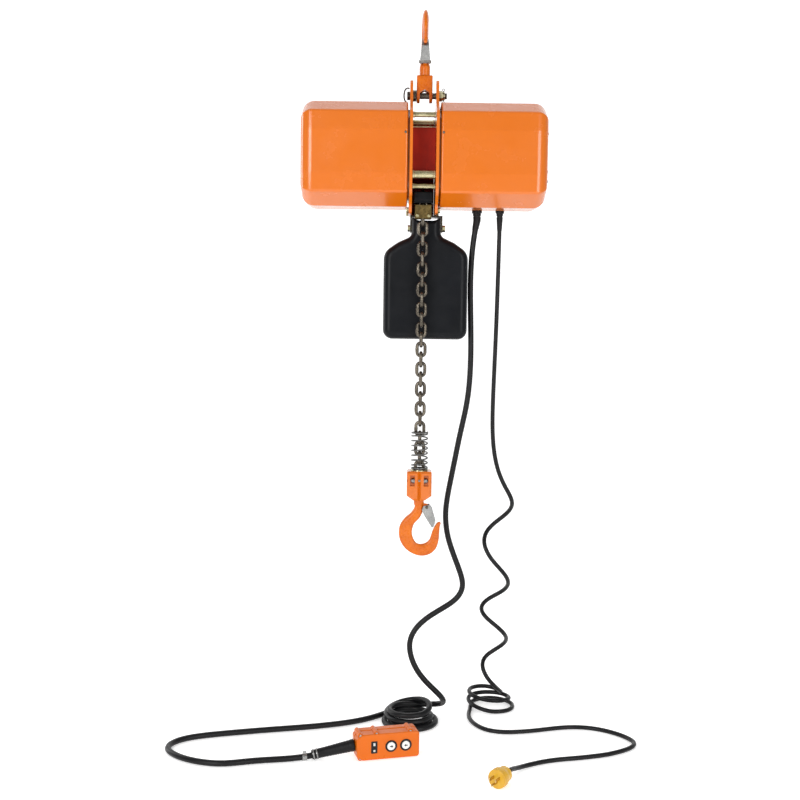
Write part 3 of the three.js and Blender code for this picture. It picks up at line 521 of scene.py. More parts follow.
# The power cord's coil leans, so its keys give the middle of each turn before its radius.
POWER_COIL_KEYS = [
    (14, 163, 122, 36.5, -1473.5), (90, 163, 123, 37, -1470.5), (150, 163, 123, 38, -1469.5),
    (200, 163, 123, 38.5, -1471.5), (270, 165, 122, 39.5, -1477.5), (330, 168, 116, 42.5, -1480.8),
    (370, 171, 108, 46, -1482), (450, 172, 105, 47, -1482), (520, 172, 105, 50, -1482),
    (560, 172, 105, 50, -1484.5), (600, 172, 105, 50, -1490), (630, 172, 105, 50, -1494),
    (680, 173, 105, 52, -1495.2), (720, 173, 104, 50, -1495.2), (780, 173, 104, 47, -1495.2),
    (830, 172, 104, 45, -1495.2), (890, 172, 104, 45, -1495.2),
]
COIL_STEP = 15


def coil(keys):
    """The turns through (angle, x, y, radius, z) keys, with a point at every COIL_STEP degrees."""
    angles = np.arange(keys[0][0], keys[-1][0] + 1, COIL_STEP)
    table = np.array(keys)
    x, y, radius, z = (np.interp(angles, table[:, 0], table[:, k]) for k in (1, 2, 3, 4))
    turn = np.radians(angles)
    return [tuple(p) for p in np.stack([x + radius * np.cos(turn), y + radius * np.sin(turn), z], axis=1)]


def smooth_line(points, steps=8):
    """A Catmull-Rom line through the points."""
    p = np.asarray(points, float)
    p = np.concatenate([[2 * p[0] - p[1]], p, [2 * p[-1] - p[-2]]])
    line = []
    for i in range(1, len(p) - 2):
        a, b, c, d = p[i - 1], p[i], p[i + 1], p[i + 2]
        for k in range(steps):
            t = k / steps
            line.append(0.5 * ((2 * b) + (c - a) * t + (2 * a - 5 * b + 4 * c - d) * t * t
                               + (3 * b - a - 3 * c + d) * t ** 3))
    line.append(p[-2])
    return np.array(line)


def relaxed(line, rounds=30):
    """The line with its kinks eased out, its ends held."""
    line = line.copy()
    for _ in range(rounds):
        line[1:-1] += 0.25 * (line[:-2] - 2 * line[1:-1] + line[2:])
    return line


def lay_cord(name, route, diameter, nodes):
    """A cord along its route's points, in place of its CAD nodes."""
    points = relaxed(smooth_line(route)) * MM
    data = bpy.data.curves.new(name, "CURVE")
    data.dimensions = "3D"
    data.bevel_depth = diameter / 2 * MM
    data.bevel_resolution = 4
    data.use_fill_caps = True
    data.materials.append(RUBBER)
    spline = data.splines.new("POLY")
    spline.points.add(len(points) - 1)
    spline.use_smooth = True
    for target, point in zip(spline.points, points):
        target.co = (*point, 1.0)
    cable = added(name, data)
    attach(cable, "cords")
    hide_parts(*nodes)
    return cable


pendant_coil = coil([(angle, *PENDANT_COIL_MIDDLE, radius, z) for angle, radius, z in PENDANT_COIL_KEYS])
pendant_cable = lay_cord("pendant_cable", PENDANT_DROP + pendant_coil + PENDANT_LEAD, PENDANT_CORD,
                         ["pendant_cord", "pendant_coil", "pendant_lead"])
power_cable = lay_cord("power_cable", POWER_DROP + coil(POWER_COIL_KEYS) + POWER_LEAD, POWER_CORD,
                       ["power_cord", "power_coil", "power_lead"])

# -------- covers
BODY_Z = -275.2
BODY_END = 253
BODY_DEPTH = 105
COVER_START = 33.8
COVER_WALL = 2.5
COVER_ROUND = 26
RIM_ROUND = 4
# A quarter of the covers' section as (y, z, radius) corners from the middle of the body.
SECTION_QUARTER = [(BODY_DEPTH, 43.5, 14), (100, 81.6, 7), (47, 107.2, 9)]


def body_section():
    """Corners of the covers' section in (Y, Z), anticlockwise from the lower rear."""
    upper = SECTION_QUARTER + [(-y, z, r) for y, z, r in reversed(SECTION_QUARTER)]
    corners = upper + [(-y, -z, r) for y, z, r in upper]
    return [(y, BODY_Z + z, r) for y, z, r in corners]


def quarter_round(radius, steps):
    """(distance along, inset) pairs from the face to the side of a rounded edge."""
    turns = [pi / 2 * k / steps for k in range(steps + 1)]
    return [(radius * (1 - cos(a)), radius * (1 - sin(a))) for a in turns]


def cover_shape(side):
    """A hollow cover, closed and rounded at its outer end, its rim turned in a little."""
    inner_round = COVER_ROUND - COVER_WALL
    levels = [(BODY_END - COVER_WALL - a, COVER_WALL + d) for a, d in quarter_round(inner_round, 4)]
    levels.append((COVER_START + 1, COVER_WALL))
    levels += [(COVER_START + a, d) for a, d in quarter_round(RIM_ROUND, 4)]
    levels += [(BODY_END - a, d) for a, d in reversed(quarter_round(COVER_ROUND, 8))]
    section = body_section()
    points, faces = loft([[(x, y, z) for y, z in rounded(section, d, 5)] for x, d in levels])
    if side < 0:
        return points * np.array([-1, 1, 1]), [tuple(reversed(face)) for face in faces]
    return points, faces


for cover, cover_side in (("left_cover", -1), ("right_cover", 1)):
    piece(f"{cover}_shell", cover_shape(cover_side), "hoist", "orange_paint", [cover])


RIM_SCREW_X = 38.5
RIM_SCREW_Z = BODY_Z + 38
END_SCREW_Y = 68
END_SCREW_Z = [BODY_Z + 43, BODY_Z - 34, BODY_Z - 54]


def cover_screws():
    """Small screws through the rims of the covers, and on the face of the right cover's end."""
    heads = []
    for x in (-RIM_SCREW_X, RIM_SCREW_X):
        for side in (-1, 1):
            heads.append(moved(turned(pan_screw(2.6), -90 * side, "X"), x, side * BODY_DEPTH, RIM_SCREW_Z))
    for y in (-END_SCREW_Y, END_SCREW_Y):
        for z in END_SCREW_Z:
            heads.append(moved(along_x(pan_screw(3.2)), BODY_END, y, z))
    return merged(*heads)


piece("cover_screws", cover_screws(), "hoist", "dark_steel")

# -------- frame
PLATE_GAP = 23.7
PLATE_FACE = 30.2
# Radius, y and z of each tie bar.
TIE_BARS = [(6, -62.5, -196), (8.7, 62.5, -196.5), (9.2, -62.5, -317), (5.6, -62.5, -341)]


def tie_bar(radius, y, z):
    """A plated spacer with turned shoulders at its ends."""
    end = [(radius - 0.7, PLATE_GAP - 4.6), (radius, PLATE_GAP - 4), (radius, PLATE_GAP - 0.6),
           (radius - 0.6, PLATE_GAP)]
    return moved(along_x(lathe(both_ends(end), 32)), 0, y, z)


for number, (bar_radius, bar_y, bar_z) in enumerate(TIE_BARS, 1):
    piece(f"spacer_{number}", tie_bar(bar_radius, bar_y, bar_z), "hoist", "yellow_zinc",
          [f"tie_bar_{number}"])


GUARD_TOP_Z = -219
GUARD_FRONT_Z = -325
GUARD_REAR_Z = -394
GUARD_DEPTH = 52
GUARD_SHEET = 2


def guard_shape():
    """The bent sheet in front of, over and behind the sheave, its folds rounded."""
    outer, inner = GUARD_DEPTH, GUARD_DEPTH - GUARD_SHEET
    under = GUARD_TOP_Z - GUARD_SHEET
    outside = [(outer, GUARD_REAR_Z, 0.5), (outer, GUARD_TOP_Z, 5), (-outer, GUARD_TOP_Z, 5),
               (-outer, GUARD_FRONT_Z, 0.5)]
    inside = [(-inner, GUARD_FRONT_Z, 0.5), (-inner, under, 3), (inner, under, 3),
              (inner, GUARD_REAR_Z, 0.5)]
    return slab(outside + inside, "x", -PLATE_GAP, PLATE_GAP, 0.2, 5, 1)


# The guard is orange paint; its dark red look is painted shade, for the shade between the plates.
piece("sheave_guard", guard_shape(), "hoist", "orange_paint", ["chain_guard"], look=GUARD_SHADE_RED)


def limit_lever():
    """Black lever that the chain runs through above the guide, with its pivot; its black also paints in the
    shade under the sheave.
    """
    lever = slab(oblong(-21, -56, 21, -12, 3), "z", -374, -353, 1.2)
    ear = slab(oblong(-62, -371, -54, -352, 3), "x", -19, 19, 1)
    return merged(lever, ear)


CHAIN_PASSAGE = slab(oblong(-13.5, -48, 13.5, -20.5, 4), "z", -380, -345)
# The lever's black plastic also stands in for the shade under the sheave, between the plates: partly painted
# shade.
piece("limit_lever", limit_lever(), "hoist", "black_plastic", carve=[CHAIN_PASSAGE])

PLATE_BOLT = (47, -389)
GUIDE_BOLT = (12, -52, -401)


def frame_bolts():
    """Hexagon bolts outside the lower ends of the plates, and small ones on the guide."""
    heads = []
    for y in (-PLATE_BOLT[0], PLATE_BOLT[0]):
        for side in (1, -1):
            heads.append(moved(turned(hexagon(10, 5), 90 * side, "Y"), PLATE_FACE * side, y, PLATE_BOLT[1]))
    for x in (-GUIDE_BOLT[0], GUIDE_BOLT[0]):
        heads.append(moved(along_y(hexagon(5.5, 2.5)), x, *GUIDE_BOLT[1:]))
    return merged(*heads)


piece("frame_bolts", frame_bolts(), "hoist", "yellow_zinc")

# -------- suspension
PIN_Z = -148
YOKE_TOP_Z = -107
YOKE_SIDE = [(-15, -163, 14.8), (15, -163, 14.8), (15, YOKE_TOP_Z, 4), (-15, YOKE_TOP_Z, 4)]
ARCH_SIDE = [(-10, -175, 1), (10, -175, 1), (10, -143, 3), (0, -136.5, 2), (-10, -143, 3)]
YOKE_ARCH = slab(ARCH_SIDE, "y", -20, 20)
YOKE_NUT_ROOM = lathe([(10.1, -142), (10.1, -122)], 32)
YOKE_SHANK_HOLE = lathe([(8.4, -124), (8.4, -100)], 32)
PIN_HOLE = moved(along_x(lathe([(6.6, -25), (6.6, 50)], 32)), 0, 0, PIN_Z)
piece("yoke_casting", slab(YOKE_SIDE, "x", -16.5, 16.5, 2, 10), "yoke", "orange_paint", ["suspension_yoke"],
      carve=[YOKE_ARCH, YOKE_NUT_ROOM, YOKE_SHANK_HOLE, PIN_HOLE], look=FORGED)


def castle_nut():
    """A hexagon nut on the end of the suspension pin, with a round crown."""
    body = along_x(hexagon(19, 7, 0.8))
    crown = along_x(lathe([(8.8, 6.5), (8.8, 11.4), (8.2, 12)], 32))
    return moved(merged(body, crown), 30.5, 0, PIN_Z)


NUT_SLOT = block((37.6, -1.4, -12), (45, 1.4, 12), 0.2)
NUT_SLOTS = [moved(turned(NUT_SLOT, angle, "X"), 0, 0, PIN_Z) for angle in (0, 60, 120)]
piece("pin_castle_nut", castle_nut(), "hoist", "yellow_zinc", ["suspension_pin_nut"],
      carve=[*NUT_SLOTS, PIN_HOLE])


def split_pin(x, z):
    """A split pin upright through the suspension pin, its legs bent apart below."""
    turns = np.radians(range(-150, 151, 30))
    eye = [(x + 2.4 * sin(a), 0, z + 13 + 2.4 * cos(a)) for a in turns]
    legs = [
        [(x - 0.7, 0, z + 11), (x - 0.7, 0, z - 10), (x - 2, 0, z - 13), (x - 6, 0, z - 14)],
        [(x + 0.7, 0, z + 11), (x + 0.7, 0, z - 10), (x + 2, 0, z - 13), (x + 5.5, 0, z - 15)],
    ]
    return merged(tube(eye, 0.8, 8), *[tube(leg, 0.75, 8) for leg in legs])


piece("split_pin", split_pin(40.2, PIN_Z), "hoist", "bright_steel")


def pin_clip():
    """Curved spring clip that keeps the head of the suspension pin in place."""
    bow = [(-31.5, -7, -134), (-36, -8, -133.5), (-40.5, -8.5, -137), (-42.5, -9, -144), (-42.8, -9, -152),
           (-41, -8.5, -159), (-37.5, -8, -163)]
    return tube(smooth_line(bow, 4), 1.5, 10)


piece("pin_clip", pin_clip(), "hoist", "dark_steel")

# -------- hooks
# Each station of a hook, from shank to tip: its outer point, its inner point and half its thickness.
HOOK_STATIONS = [
    (-9, 3, 9, 3, 9), (-9, 15, 9, 17, 9), (-16.5, 28, 8, 27, 9),
    (-29, 39, 1.5, 40, 9), (-39, 53.5, -9.5, 52.5, 8.8), (-42, 70, -13.8, 69, 8.5),
    (-39.4, 87.3, -11.5, 82, 8.5), (-30, 103.4, -5.5, 92, 8.5), (-14.9, 115.5, 1, 95.4, 8.5),
    (5, 121.6, 7, 95.6, 8.5), (24.1, 118, 13.5, 94, 8.3), (37.4, 106.1, 19.5, 90.5, 7.8),
    (43.4, 88.6, 24.8, 83, 7), (44.8, 70, 28.7, 70, 6.2), (45.6, 58, 33.8, 58, 5.4),
    (47.5, 50.8, 39, 50, 4.4), (46.2, 47.6, 42.5, 47.4, 2.2),
]
SECTION_POWER = 2.7
OUTER_THINNING = 0.5
THINNING_START = 25
THINNING_RUN = 45
SHANK_RADIUS = 11
EAR = [(5, 7, 1), (19, 9, 3), (21, 15, 3), (18, 20.5, 3), (5, 25, 1)]
LATCH_PIN = (17, 15)
LATCH_TAPER = 0.4
TAPER_START = 20
TAPER_RUN = 36
LATCH_CHEEK = [(6.5, 21, 3), (9.8, 11.5, 4), (22.5, 10, 3), (28, 16.5, 3), (36.2, 44.5, 3), (31.8, 58.5, 2),
               (28, 58.5, 2), (12.5, 34, 6)]
LATCH_WEB = [(22.6, 10, 1), (28, 16.5, 3), (36.2, 44.5, 3), (31.8, 58.5, 1), (30.6, 57.9, 1),
             (34.6, 44.6, 2), (26.6, 17.4, 2), (21.8, 11.2, 1)]
PIN_SPRING_TURNS = 7


def hook_blade():
    """The forged blade in (u, w, v): u towards the mouth, w across, v away from the shank's face."""
    rings = []
    for ou, ov, iu, iv, half in smooth_line(HOOK_STATIONS, 5):
        middle = np.array([(ou + iu) / 2, (ov + iv) / 2])
        reach = np.array([ou - iu, ov - iv]) / 2
        thinned = min(max((middle[1] - THINNING_START) / THINNING_RUN, 0), 1)
        ring_points = []
        for point in circle(1.0, 24):
            along, across = (copysign(abs(c) ** (2 / SECTION_POWER), c) for c in point)
            u, v = middle + reach * along
            thinner = OUTER_THINNING * (1 + along) / 2 * thinned
            ring_points.append((u, across * half * (1 - thinner), v))
        rings.append(ring_points)
    return loft(rings)


def hook_shape(extra):
    """Blade, shank and latch ear, in (u, w, v), the shank longer by extra."""
    shank = lathe([(SHANK_RADIUS - 0.6, 0.3), (SHANK_RADIUS, 1), (SHANK_RADIUS, extra + 7),
                   (9.6, extra + 12), (6, extra + 18)], 32)
    return merged(moved(hook_blade(), z=extra), shank, moved(slab(EAR, "y", -4, 4, 0.8), z=extra))


def latch_shape(extra):
    """A bent sheet with two cheeks on the hinge pin and a rounded tongue inside the hook's tip."""
    cheeks = [slab(LATCH_CHEEK, "y", low, low + 1.4, 0.3, 4, 1) for low in (-10.4, 9)]
    points, faces = merged(*cheeks, slab(LATCH_WEB, "y", -9.8, 9.8, 0.3, 4, 1))
    far = np.clip((points[:, 2] - TAPER_START) / TAPER_RUN, 0, 1)
    points[:, 1] *= 1 - LATCH_TAPER * far
    return moved((points, faces), z=extra)


def latch_pin_shape(extra):
    """The latch's rivet, headed at both ends, with a small torsion spring whose leg leans on the latch."""
    u, v = LATCH_PIN
    end = [(2.5, 10.7), (3.6, 11.2), (3.4, 12.2), (2, 12.6)]
    rod = along_y(lathe(both_ends(end), 20))
    steps = PIN_SPRING_TURNS * 12
    angles = np.linspace(0, PIN_SPRING_TURNS * 2 * pi, steps)
    across = np.linspace(-8.4, -4.4, steps)
    turns = [(4.1 * cos(a), w, 4.1 * sin(a)) for a, w in zip(angles, across)]
    leg = [(8, -4.4, 6), (14, -4.4, 20)]
    return moved(merged(rod, tube(turns + leg, 0.45, 6)), u, 0, v + extra)


# How much longer the top hook's shank is than the load hook's.
TOP_SHANK = 11.4
BLOCK_TOP_Z = -936.5
BLOCK_BOTTOM_Z = BLOCK_TOP_Z - 62.8


def on_top(shape):
    """From (u, w, v) to the top hook, which stands upright with its mouth towards -Y."""
    u, w, v = shape[0].T
    return np.stack([w, -u, YOKE_TOP_Z + v], axis=1), shape[1]


def on_load(shape):
    """From (u, w, v) to the load hook, which hangs with its mouth towards +X."""
    u, w, v = shape[0].T
    return np.stack([u, w - CHAIN_Y, BLOCK_BOTTOM_Z - v], axis=1), [tuple(reversed(f)) for f in shape[1]]


TOP_STEM = lathe([(6, -136), (8, -126.5), (8, YOKE_TOP_Z + 2)], 32)
LOAD_STEM = moved(lathe([(SHANK_RADIUS, BLOCK_BOTTOM_Z - 1), (SHANK_RADIUS, BLOCK_TOP_Z - 46),
                         (15, BLOCK_TOP_Z - 45.5), (15, BLOCK_TOP_Z - 37)], 32), 0, -CHAIN_Y, 0)
for hook, placed, longer, stem in (("top", on_top, TOP_SHANK, TOP_STEM), ("load", on_load, 0, LOAD_STEM)):
    piece(f"{hook}_hook_forging", placed(hook_shape(longer)), f"{hook}_hook", "orange_paint",
          [f"{hook}_hook"], look=FORGED)
    piece(f"{hook}_latch_sheet", placed(latch_shape(longer)), f"{hook}_latch", "bright_steel",
          [f"{hook}_latch"])
    piece(f"{hook}_latch_rivet", placed(latch_pin_shape(longer)), f"{hook}_hook", "dark_steel",
          [f"{hook}_latch_pin"])
    piece(f"{hook}_swivel_stem", stem, f"{hook}_hook", "dark_steel")

# -------- chain, spring and block
LINK_PITCH = 21
LINK_WIRE = 7.1
LINK_WIDTH = 24
WELD_SWELLING = 0.35
UPPER_FIRST_Z = -363.6
UPPER_COUNT = 7
LOWER_FIRST_Z = -510.9
LOWER_COUNT = 22
SLACK_COUNT = 5


def link_shape():
    """One welded link standing on end, flat across X, with a slight swelling at its weld."""
    bend = (LINK_WIDTH - LINK_WIRE) / 2
    straight = (LINK_PITCH + LINK_WIRE) / 2 - bend
    path = []
    for start, z in ((0, straight), (180, -straight)):
        for degrees in range(start, start + 181, 18):
            a = radians(degrees)
            path.append((bend * cos(a), 0, z + bend * sin(a)))
    radii = [LINK_WIRE / 2] * len(path) + [LINK_WIRE / 2 + WELD_SWELLING] * 2
    path += [(bend, 0, -1.2), (bend, 0, 1.2)]
    return tube(path, radii, 12, closed=True)


def chain_shape(top, count, passed, y):
    """count links downwards from top, each a quarter turn from the last; passed links hang above them."""
    link = link_shape()
    return merged(*[moved(turned(link, 90 * ((i + passed) % 2 + 1), "Z"), 0, y, top - i * LINK_PITCH)
                    for i in range(count)])


for run, first_z, link_count, above, run_y in (
    ("upper", UPPER_FIRST_Z, UPPER_COUNT, 0, -CHAIN_Y),
    ("lower", LOWER_FIRST_Z, LOWER_COUNT, UPPER_COUNT, -CHAIN_Y),
    ("slack", UPPER_FIRST_Z, SLACK_COUNT, 0, CHAIN_Y),
):
    piece(f"{run}_chain_links", chain_shape(first_z, link_count, above, run_y), f"{run}_chain", "dark_steel",
          [f"{run}_chain"])

SPRING_RADIUS = 16.7
SPRING_WIRE = 3.2
SPRING_TURNS = 9
SPRING_HEIGHT = 79


def spring_shape():
    """A pressure spring whose first and last turns lie closed."""
    turns = np.linspace(0, SPRING_TURNS, SPRING_TURNS * 28 + 1)
    rise = np.interp(turns, [0, 1, SPRING_TURNS - 1, SPRING_TURNS],
                     [0, SPRING_WIRE, SPRING_HEIGHT - SPRING_WIRE, SPRING_HEIGHT])
    a = 2 * pi * turns
    path = np.stack([SPRING_RADIUS * np.cos(a), SPRING_RADIUS * np.sin(a), rise], axis=1)
    return moved(tube(path, SPRING_WIRE / 2, 12), 0, -CHAIN_Y, BLOCK_TOP_Z + 3.4)


piece("pressure_spring", spring_shape(), "lower_chain", "bright_steel", ["buffer_spring"], look=IRON)
WASHER = ring([(12.6, 0.2), (18.4, 0.2), (18.6, 0.6), (18.4, 1.6), (12.6, 1.6)], 48)
piece("spring_washer", moved(WASHER, 0, -CHAIN_Y, BLOCK_TOP_Z), "lower_chain", "yellow_zinc")

BLOCK_BOLT_Y = 17.5
BLOCK_BOLT_Z = BLOCK_TOP_Z - 19.5


def block_bolts():
    """Two bolts through the block, in front of the chain and behind it, with their nuts and washers."""
    rod = along_x(lathe([(2.9, -17.5), (2.9, 17.5), (2.4, 18.2)], 20))
    head = moved(turned(hexagon(10, 4.6), -90, "Y"), -11.2)
    nut = moved(along_x(hexagon(10, 5)), 10.9)
    washer = along_x(ring([(3, 0), (5.9, 0), (5.9, 1.1), (3, 1.1)], 24))
    bolt = merged(rod, head, nut, moved(washer, -11), moved(washer, 9.7))
    return merged(*[moved(bolt, 0, y - CHAIN_Y, BLOCK_BOLT_Z) for y in (-BLOCK_BOLT_Y, BLOCK_BOLT_Y)])


piece("block_bolts", block_bolts(), "lower_chain", "bright_steel")

# -------- chain container
CONTAINER_X = 8
CONTAINER_TOP_Z = -400.5
CONTAINER_BOTTOM_Z = -658.5
CONTAINER_HALF = 44.5
CONTAINER_WALL = 3


def container_shape(inset, top, edge, steps):
    """The container's bottle shape drawn in by inset, up to top."""
    neck, half, bottom = 31 - inset, 89.7 - inset, CONTAINER_BOTTOM_Z + inset
    right = [(half, bottom, 20), (half, -474 - inset * 0.6, 30), (half - 30, -453 - inset, 30),
             (neck, -440 - inset, 14), (neck, top, 2)]
    left = [(-x, z, r) for x, z, r in reversed(right)]
    corners = [(CONTAINER_X + x, z, r) for x, z, r in right + left]
    reach = CONTAINER_HALF - inset
    return slab(corners, "y", CHAIN_Y - reach, CHAIN_Y + reach, edge, steps, steps)


CONTAINER_INSIDE = container_shape(CONTAINER_WALL, CONTAINER_TOP_Z + 20, 13, 6)
CONTAINER_BOLT_HOLE = moved(along_x(lathe([(4.3, -50), (4.3, 50)], 24)), CONTAINER_X, 16, -423)
piece("container_shell", container_shape(0, CONTAINER_TOP_Z, 16, 8), "hoist", "black_plastic",
      ["chain_container"], carve=[CONTAINER_INSIDE, CONTAINER_BOLT_HOLE])

# -------- glands and strain reliefs
GLAND_TOP_Z = -382.7
SLEEVE_LENGTH = 30
SLEEVE_STEPS = 60
PIVOT_DEPTH = 11.8


def gland_shape(x, y, r):
    """A low cable gland: a flange, a hexagon nut, and a socket in which the cord's ball turns."""
    mouth, socket = -11, -5.6
    collar = lathe([(0.01, socket), (r + 1.5, socket), (r + 1.5, mouth), (r + 2, mouth),
                    (r + 2.6, mouth + 0.6), (r + 2.6, -5.4), (r + 4.6, -4.4), (r + 4.6, 0)], 32)
    nut = moved(hexagon(2 * r + 6.4, 3.4), 0, 0, -5.4)
    return moved(merged(collar, nut), x, y, GLAND_TOP_Z)


def ball_shape(x, y, r):
    """The ball on top of a cord's sleeve, round the axis the cord swings about."""
    radius, top = r + 1.1, 3.6
    angles = np.linspace(0.02, acos(-top / radius), 17)
    profile = [(radius * sin(a), -radius * cos(a)) for a in angles] + [(0.01, top)]
    return moved(lathe(profile, 32), x, y, GLAND_TOP_Z - PIVOT_DEPTH)


def sleeve_shape(route, r):
    """The tapered, ribbed sleeve along the first part of a cord, its first ring inside the ball."""
    line = smooth_line(route, 12)
    away = np.concatenate([[0], np.cumsum(norm(np.diff(line, axis=0), axis=1))])
    path, radii = [], []
    for step in range(SLEEVE_STEPS + 1):
        reach = SLEEVE_LENGTH * step / SLEEVE_STEPS
        path.append([np.interp(reach, away, line[:, axis]) for axis in range(3)])
        rib = 0.35 if step % 6 < 4 and step < SLEEVE_STEPS - 4 else 0.0
        lead_in = 1.2 if step == 0 else 0.0
        radii.append(r + 2.1 - 1.9 * step / SLEEVE_STEPS + rib - lead_in)
    return tube(path, radii, 24)


# Each cord's radius and the stretch of its route that the sleeve follows.
RELIEFS = {"pendant": (PENDANT_CORD / 2, PENDANT_DROP[:6]), "power": (POWER_CORD / 2, POWER_DROP[:6])}
for cord, (radius, route) in RELIEFS.items():
    piece(f"{cord}_gland_nut", gland_shape(*route[0][:2], radius), "hoist", "black_rubber",
          [f"{cord}_gland"])
for cord, (radius, route) in RELIEFS.items():
    piece(f"{cord}_sleeve", sleeve_shape(route, radius), "cords", "black_rubber")
for cord, (radius, route) in RELIEFS.items():
    piece(f"{cord}_sleeve_ball", ball_shape(*route[0][:2], radius), "cords", "black_rubber")

# -------- pendant
CASE_YAW = 14.7
CASE_MIDDLE = (-62.8, -191.3, FLOOR_Z + 28)
CASE_PLACE = Matrix.Translation(Vector(CASE_MIDDLE) * MM) @ Matrix.Rotation(radians(CASE_YAW), 4, "Z")
CASE_OUTLINE = [(-65, -18, 5), (-53, -26.5, 6), (65, -26.5, 6), (65, 26.5, 6), (-53, 26.5, 6), (-65, 18, 5)]
CASE_DEPTH = 23
# Where the two halves meet, and how far each keeps from there.
CASE_SPLIT = 3
CASE_SEAM = 0.15
BUTTON_X = {"up": 5.5, "down": 36}
BUTTON_RADIUS = 8.5
BUTTON_HOLE = along_y(lathe([(BUTTON_RADIUS + 0.3, 8), (BUTTON_RADIUS + 0.3, 40)], 36))
LUG_PLACES = [(-57, 24), (-24, 25.5), (47, 25.5), (-57, -22.7), (-2, -22.7), (50, -22.7)]


def case_lugs(low, high):
    """Round lugs for the case's screws, between two depths."""
    profile = [(4.6, low), (5.2, low + 0.8), (5.2, high - 0.8), (4.6, high)]
    return [moved(along_y(lathe(profile, 28)), x, 0, z) for x, z in LUG_PLACES]


def case_screws():
    """Screws in the lugs."""
    return merged(*[moved(along_y(pan_screw(3)), x, -17.9, z) for x, z in LUG_PLACES])


FRONT_HALF = slab(CASE_OUTLINE, "y", -CASE_DEPTH, CASE_SPLIT - CASE_SEAM, 3.2, 5, 4)
BACK_HALF = slab(CASE_OUTLINE, "y", CASE_SPLIT + CASE_SEAM, CASE_DEPTH, 3.2, 5, 4)
piece("pendant_front_shell", merged(FRONT_HALF, *case_lugs(-18, 2.8)), "cords", "orange_plastic",
      ["pendant_case"], carve=[moved(BUTTON_HOLE, x) for x in BUTTON_X.values()], place=CASE_PLACE)
piece("pendant_back_shell", merged(BACK_HALF, *case_lugs(3.2, 18)), "cords", "orange_plastic",
      ["pendant_back"], place=CASE_PLACE)
piece("pendant_screws", case_screws(), "cords", "bright_steel", place=CASE_PLACE)
CASE_PLATE = slab(oblong(-36, -12.5, -23, 12.5, 1.5), "y", -23.6, -22.6, 0.3)
PLATE_MARKS = [block((-31.4, -23.8, low), (-27.4, -23.5, high), 0.1) for low, high in ((3, 9), (-9, -5))]
piece("pendant_plate", CASE_PLATE, "cords", place=CASE_PLACE, look=INK)
piece("pendant_plate_marks", merged(*PLATE_MARKS), "cords", place=CASE_PLACE, look=MARK)

BEZEL = along_y(ring([(BUTTON_RADIUS + 0.35, 21), (12, 21), (12.2, 23.6), (11.4, 24.6), (9.6, 24.6),
                      (BUTTON_RADIUS + 0.35, 24)], 48))
BUTTON = along_y(lathe([(8.2, 15), (BUTTON_RADIUS, 15.4), (BUTTON_RADIUS, 23.8), (7.9, 24.8), (6.4, 25.3),
                        (0.01, 25.6)], 48))


def arrow_shape(direction):
    """A small arrow printed on a button, pointing along the case, towards +X or -X."""
    corners = [(-3.4, -1), (0.2, -1), (0.2, -3), (3.8, 0), (0.2, 3), (0.2, 1), (-3.4, 1)]
    corners = [(x * direction, z, 0.2) for x, z in corners][::direction]
    return slab(corners, "y", -25.75, -25.2, 0.0, 2)


for way, button_x in BUTTON_X.items():
    arrow = arrow_shape(1 if way == "up" else -1)
    piece(f"{way}_bezel", moved(BEZEL, button_x), "cords", place=CASE_PLACE, look=INK)
    piece(f"{way}_cap", moved(BUTTON, button_x), f"{way}_button", "white_plastic", [f"{way}_button"],
          place=CASE_PLACE)
    piece(f"{way}_arrow", moved(arrow, button_x), f"{way}_button", place=CASE_PLACE, look=INK)

BOOT_START = Vector((-68, 1, -1))
BOOT_AXIS = Vector((-73.4, 7.9, -14.6)).normalized()
BOOT_TURN = Vector((0, 0, 1)).rotation_difference(BOOT_AXIS).to_matrix().to_4x4()
BOOT_PLACE = CASE_PLACE @ Matrix.Translation(BOOT_START * MM) @ BOOT_TURN
BOOT_RIBS = 9
BAND_PLACES = (74, 81)


def boot_shape():
    """The tapered rubber boot along Z: a collar, shallow ribs, and a plain thin end."""
    profile = [(10.5, -3), (12.2, -2), (12.4, 4), (11.8, 6)]
    for k in range(BOOT_RIBS):
        z = 9 + 5.4 * k
        r = 11.9 - 0.2 * k
        profile += [(r - 0.35, z - 1.2), (r, z), (r, z + 2.4), (r - 0.35, z + 3.2)]
    profile += [(9.9, 60), (9.5, 83.5), (8.8, 85)]
    return lathe(profile, 36)


piece("boot_sleeve", boot_shape(), "cords", "black_rubber", ["pendant_boot"], place=BOOT_PLACE)


def clamp_shape():
    """Two wire bands round the thin end of the boot, with their twisted ends standing up."""
    band = ring([(9.6, -1.2), (11, -1.2), (11.3, 0), (11, 1.2), (9.6, 1.2)], 36)
    bands = [moved(band, 0, 0, z) for z in BAND_PLACES]
    ears = [block((-1.5, -16, z - 1.2), (1.5, -10.6, z + 1.2), 0.4) for z in BAND_PLACES]
    return merged(*bands, *ears)


piece("boot_clamp", clamp_shape(), "cords", "bright_steel", place=BOOT_PLACE)

CLIP_YAW = 12
CLIP_PLACE = (-225.5, -224, -1492.6)


def lead_clip():
    """A small clip pinched round the lead behind the boot."""
    band = along_x(ring([(6.1, -4.5), (6.9, -4.5), (6.9, 4.5), (6.1, 4.5)], 32))
    tab = block((-3.5, -1.2, 6.8), (3.5, 1.2, 12.5), 0.5)
    return moved(turned(merged(band, tab), CLIP_YAW, "Z"), *CLIP_PLACE)


clip = piece("lead_clip", lead_clip(), "cords", "bright_steel")

